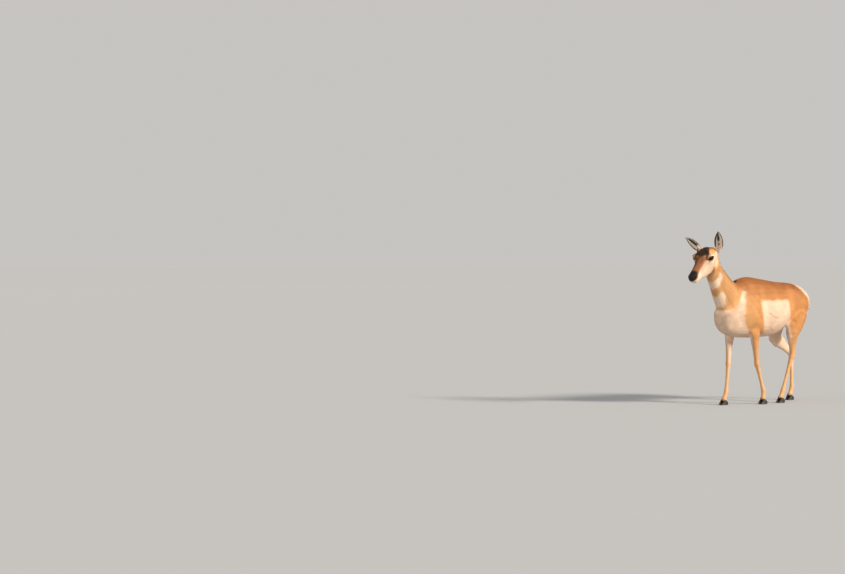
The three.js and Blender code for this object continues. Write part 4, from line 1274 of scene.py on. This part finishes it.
for hand in SIDES:
    forward = EYE_FORWARD[hand]
    level = square_to(forward, head_way(1, 0, 0.12))
    upward = np.cross(forward, level)
    ball = [[0, 0, 1.0]]
    for tilt in math.pi * (np.arange(1, EYE_RINGS) / EYE_RINGS) ** 1.25:
        for turn in np.linspace(0, math.tau, EYE_SPOKES, endpoint=False):
            flat = math.sin(tilt)
            ball.append([flat * math.cos(turn), flat * math.sin(turn), math.cos(tilt)])
    ball = np.array(ball + [[0, 0, -1.0]])
    tilt_of = np.arccos(np.clip(ball[:, 2], -1, 1))
    bulge = 1 + 0.035 * hump(tilt_of, 0, 0.42)
    size = (EYE_RADIUS * 0.985) * bulge
    points = eye_middle(hand) + (ball @ np.stack([level, upward, forward])) * size[:, None]
    faces = [(0, 1 + k, 1 + (k + 1) % EYE_SPOKES) for k in range(EYE_SPOKES)]
    for ring in range(EYE_RINGS - 2):
        low = 1 + ring * EYE_SPOKES
        high = low + EYE_SPOKES
        for k in range(EYE_SPOKES):
            after = (k + 1) % EYE_SPOKES
            faces += [(low + k, high + k, high + after), (low + k, high + after, low + after)]
    faces += [(len(ball) - 1, high + (k + 1) % EYE_SPOKES, high + k) for k in range(EYE_SPOKES)]
    eye = mesh_object("eye_" + hand + "_wet", points, faces)
    pupil = np.hypot(ball[:, 0] / 0.34, ball[:, 1] / 0.22)
    iris = mixed(tint(30, 17, 10), tint(14, 9, 7), eased(tilt_of, 0.42, 0.62))
    iris = mixed(iris, tint(6, 5, 5), 1 - eased(pupil, 0.85, 1.1))
    white_of_eye = mixed(iris, tint(60, 44, 36), eased(tilt_of, 0.95, 1.15))
    give_colour(eye.data, white_of_eye)
    shade_smooth(eye, wet_eye)
    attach(eye, "root")
    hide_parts("eye_" + hand)

# Lashes and whiskers. Long dark lashes shade the upper lid from corner to corner, and a few stiff
# feelers stand on the lips and the chin.
LASH_WIDTH = 0.0007
UPPER_LASH, LOWER_LASH = 0.0044, 0.0026
LASH_TURNS = np.concatenate([np.linspace(12, 172, 44), np.linspace(-160, -30, 14)])
WHISKERS = 20
WHISKER_LENGTH, WHISKER_WIDTH = 0.008, 0.0004
WHISKER_TINT = tint(120, 98, 78)
bases, outs, ways, rooted, lash_length = [], [], [], [], []
for hand in SIDES:
    rim, up, nose, radius = lid_distance(skin.points, hand)
    spots = np.where((radius < 34) & is_head & (rim > -0.9) & (rim < 0.8))[0]
    turn = np.degrees(np.arctan2(up[spots], nose[spots]))
    for wanted in LASH_TURNS:
        near = np.argmin(np.abs(turn - wanted) + np.abs(rim[spots]) * 3)
        spot = spots[near]
        away = unit(skin.points[spot] - eye_middle(hand))
        sideways = head_way(0.5 * math.cos(math.radians(wanted)), 0, -0.6 if wanted > 0 else -1.0)
        bases.append(skin.points[spot])
        outs.append(away * 0.9 + sideways * 0.1)
        ways.append(sideways)
        rooted.append(spot)
        lash_length.append(UPPER_LASH if wanted > 0 else LOWER_LASH)
lash_pattern = np.zeros((len(skin.points), 2))
lash_pattern[skin.faces.ravel()] = pattern.reshape(-1, 2)
outs = np.array(outs)
outs /= np.linalg.norm(outs, axis=1, keepdims=True)
lash_tint = np.tile(BLACK, (len(outs), 1))
lash_root = (np.array(bases), outs, np.array(ways), lash_pattern[rooted], lash_tint)
tuft_piece("lashes", lash_root, np.array(lash_length), LASH_WIDTH, 1.7, 0.45, 3, waver=0.5)

along, left, out = head_places(skin.points)
feeler = is_head & (along > 255) & (along < 308) & (out < -4) & (out > -46)
feeler &= np.abs(out - lip_line(along)) > 7
picked = draw.choice(np.where(feeler)[0], WHISKERS, replace=False)
feeler_tint = np.tile(WHISKER_TINT, (len(picked), 1))
feeler_root = (skin.points[picked], skin_normals[picked], lie[picked], lash_pattern[picked], feeler_tint)
tuft_piece("whiskers", feeler_root, WHISKER_LENGTH, WHISKER_WIDTH, 0.55, 0.3, 3)

# Horns. A doe has only short spikes of dark keratin over a bony core, ridged round the root and
# worn smooth at the blunt tip. They grow from the skull above the eyes, in a ruff of hair.
HORN_LENGTH = 0.031
HORN_ROOT = 0.0088
HORN_SUNK = 0.006
HORN_BEND = 0.003


def rings_of_growth(finish, across, up, detail):
    """Fine rings, drawn out round a horn or a claw."""
    squeezed = finish.add("Mapping", Vector=finish.add("TexCoord", "Object"), Scale=(across, across, up))
    return finish.add("TexNoise", Vector=squeezed, Scale=1, Detail=detail)


sheath = Finish("horn_keratin", Roughness=0.55, Specular_IOR_Level=0.3)
growth = rings_of_growth(sheath, 160, 620, 4)
sheath.raised(growth, 0.6, 0.0006)
horn_keratin = sheath.paint(sheath.ramp(growth, tint(26, 20, 18), tint(62, 47, 38)))

HORN_SPOKES = 28
HORN_RINGS = 30
for hand, side in (("left", 1), ("right", -1)):
    root = POLL + head_axes @ np.array([87, 38 * side, 62]) / 1000
    axis = head_way(-0.5, 0.2 * side, 0.85)
    ahead = square_to(axis, head_way(1, 0, 0))
    aside = np.cross(axis, ahead)
    points = []
    for ring in range(HORN_RINGS):
        share = ring / HORN_RINGS
        height = share * (HORN_LENGTH + HORN_SUNK) - HORN_SUNK
        middle = root + axis * height - ahead * HORN_BEND * share ** 2
        radius = HORN_ROOT * (1 - share ** 1.7) ** 0.62 * (1 + 0.05 * math.sin(share * 46) * (1 - share))
        for k in range(HORN_SPOKES):
            turn = math.tau * k / HORN_SPOKES
            flute = radius * (1 + 0.035 * math.sin(turn * 7 + share * 2) * (1 - share))
            wide = aside * math.sin(turn) * flute * 0.92
            points.append(middle + ahead * math.cos(turn) * flute * 1.12 + wide)
    tip = root + axis * (HORN_LENGTH + 0.0002) - ahead * HORN_BEND
    points = np.array(points + [tip])
    faces = [list(range(HORN_SPOKES))[::-1]]
    for ring in range(HORN_RINGS - 1):
        low = ring * HORN_SPOKES
        high = low + HORN_SPOKES
        for k in range(HORN_SPOKES):
            after = (k + 1) % HORN_SPOKES
            faces.append([low + k, low + after, high + after, high + k])
    faces += [[high + k, high + (k + 1) % HORN_SPOKES, len(points) - 1] for k in range(HORN_SPOKES)]
    mesh = bpy.data.meshes.new("horn_" + hand + "_sheath")
    mesh.from_pydata(points.tolist(), [], faces)
    mesh.update()
    horn = bpy.data.objects.new("horn_" + hand + "_sheath", mesh)
    bpy.context.scene.collection.objects.link(horn)
    shade_smooth(horn, horn_keratin)
    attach(horn, "root")
    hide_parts("horn_" + hand)

# Hooves. Two claws to each foot, hard black horn that grows down from the coronet in fine rings and
# wears paler and rougher at the ground edge. Pronghorns have no dew claws.
HOOF_GRAIN = 0.0013
HEEL_DROP = 0.45
CORONET = 0.031

claw_wall = Finish("hoof_horn", Roughness=0.55, Specular_IOR_Level=0.3)
growth = rings_of_growth(claw_wall, 60, 520, 5)
dark = claw_wall.ramp(growth, tint(26, 22, 21), tint(58, 49, 44), 0.3, 0.75)
height = claw_wall.add("SeparateXYZ", "Z", Vector=claw_wall.add("TexCoord", "Object"))
worn = claw_wall.add("MapRange", Value=height, From_Max=0.012, To_Min=0.75, To_Max=0)
dust = (*tint(92, 80, 69), 1)
claw_wall.raised(growth, 0.6, 0.0008)
dusty = claw_wall.add("Mix", "Result", {"data_type": "RGBA"}, Factor=worn, A=dark, B=dust)
hoof_horn = claw_wall.paint(dusty)

for node in sorted(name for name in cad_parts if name.startswith("hoof_")):
    points, normals, faces = plain_mesh(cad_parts[node])
    points, quads = after_modifier("block", points, faces, "REMESH", mode="VOXEL", voxel_size=HOOF_GRAIN)
    claw = Surface(*largest_island(points, quads))
    from_toe = claw.points[:, 0] - claw.points[:, 0].min()
    heel = eased(from_toe / from_toe.max(), 0.60, 1.0)
    claw.points[:, 2] *= 1 - HEEL_DROP * heel
    claw.smooth(np.full(len(claw.points), 0.5), 12)
    height = claw.points[:, 2]
    out = claw.normals()
    wall = 1 - np.abs(out[:, 2])
    growth = np.sin(height / 0.0034 + 1.5 * np.sin(height / 0.009)) * 0.00022
    lip = -0.0007 * hump(height, CORONET, 0.0035)
    claw.points = claw.points + out * ((growth + lip) * wall)[:, None]
    claw.points[:, 2] = np.maximum(claw.points[:, 2], 0.0)
    hoof = mesh_object(node + "_horn", claw.points, claw.faces)
    shade_smooth(hoof, hoof_horn)
    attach(hoof, "root")
    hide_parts(node)
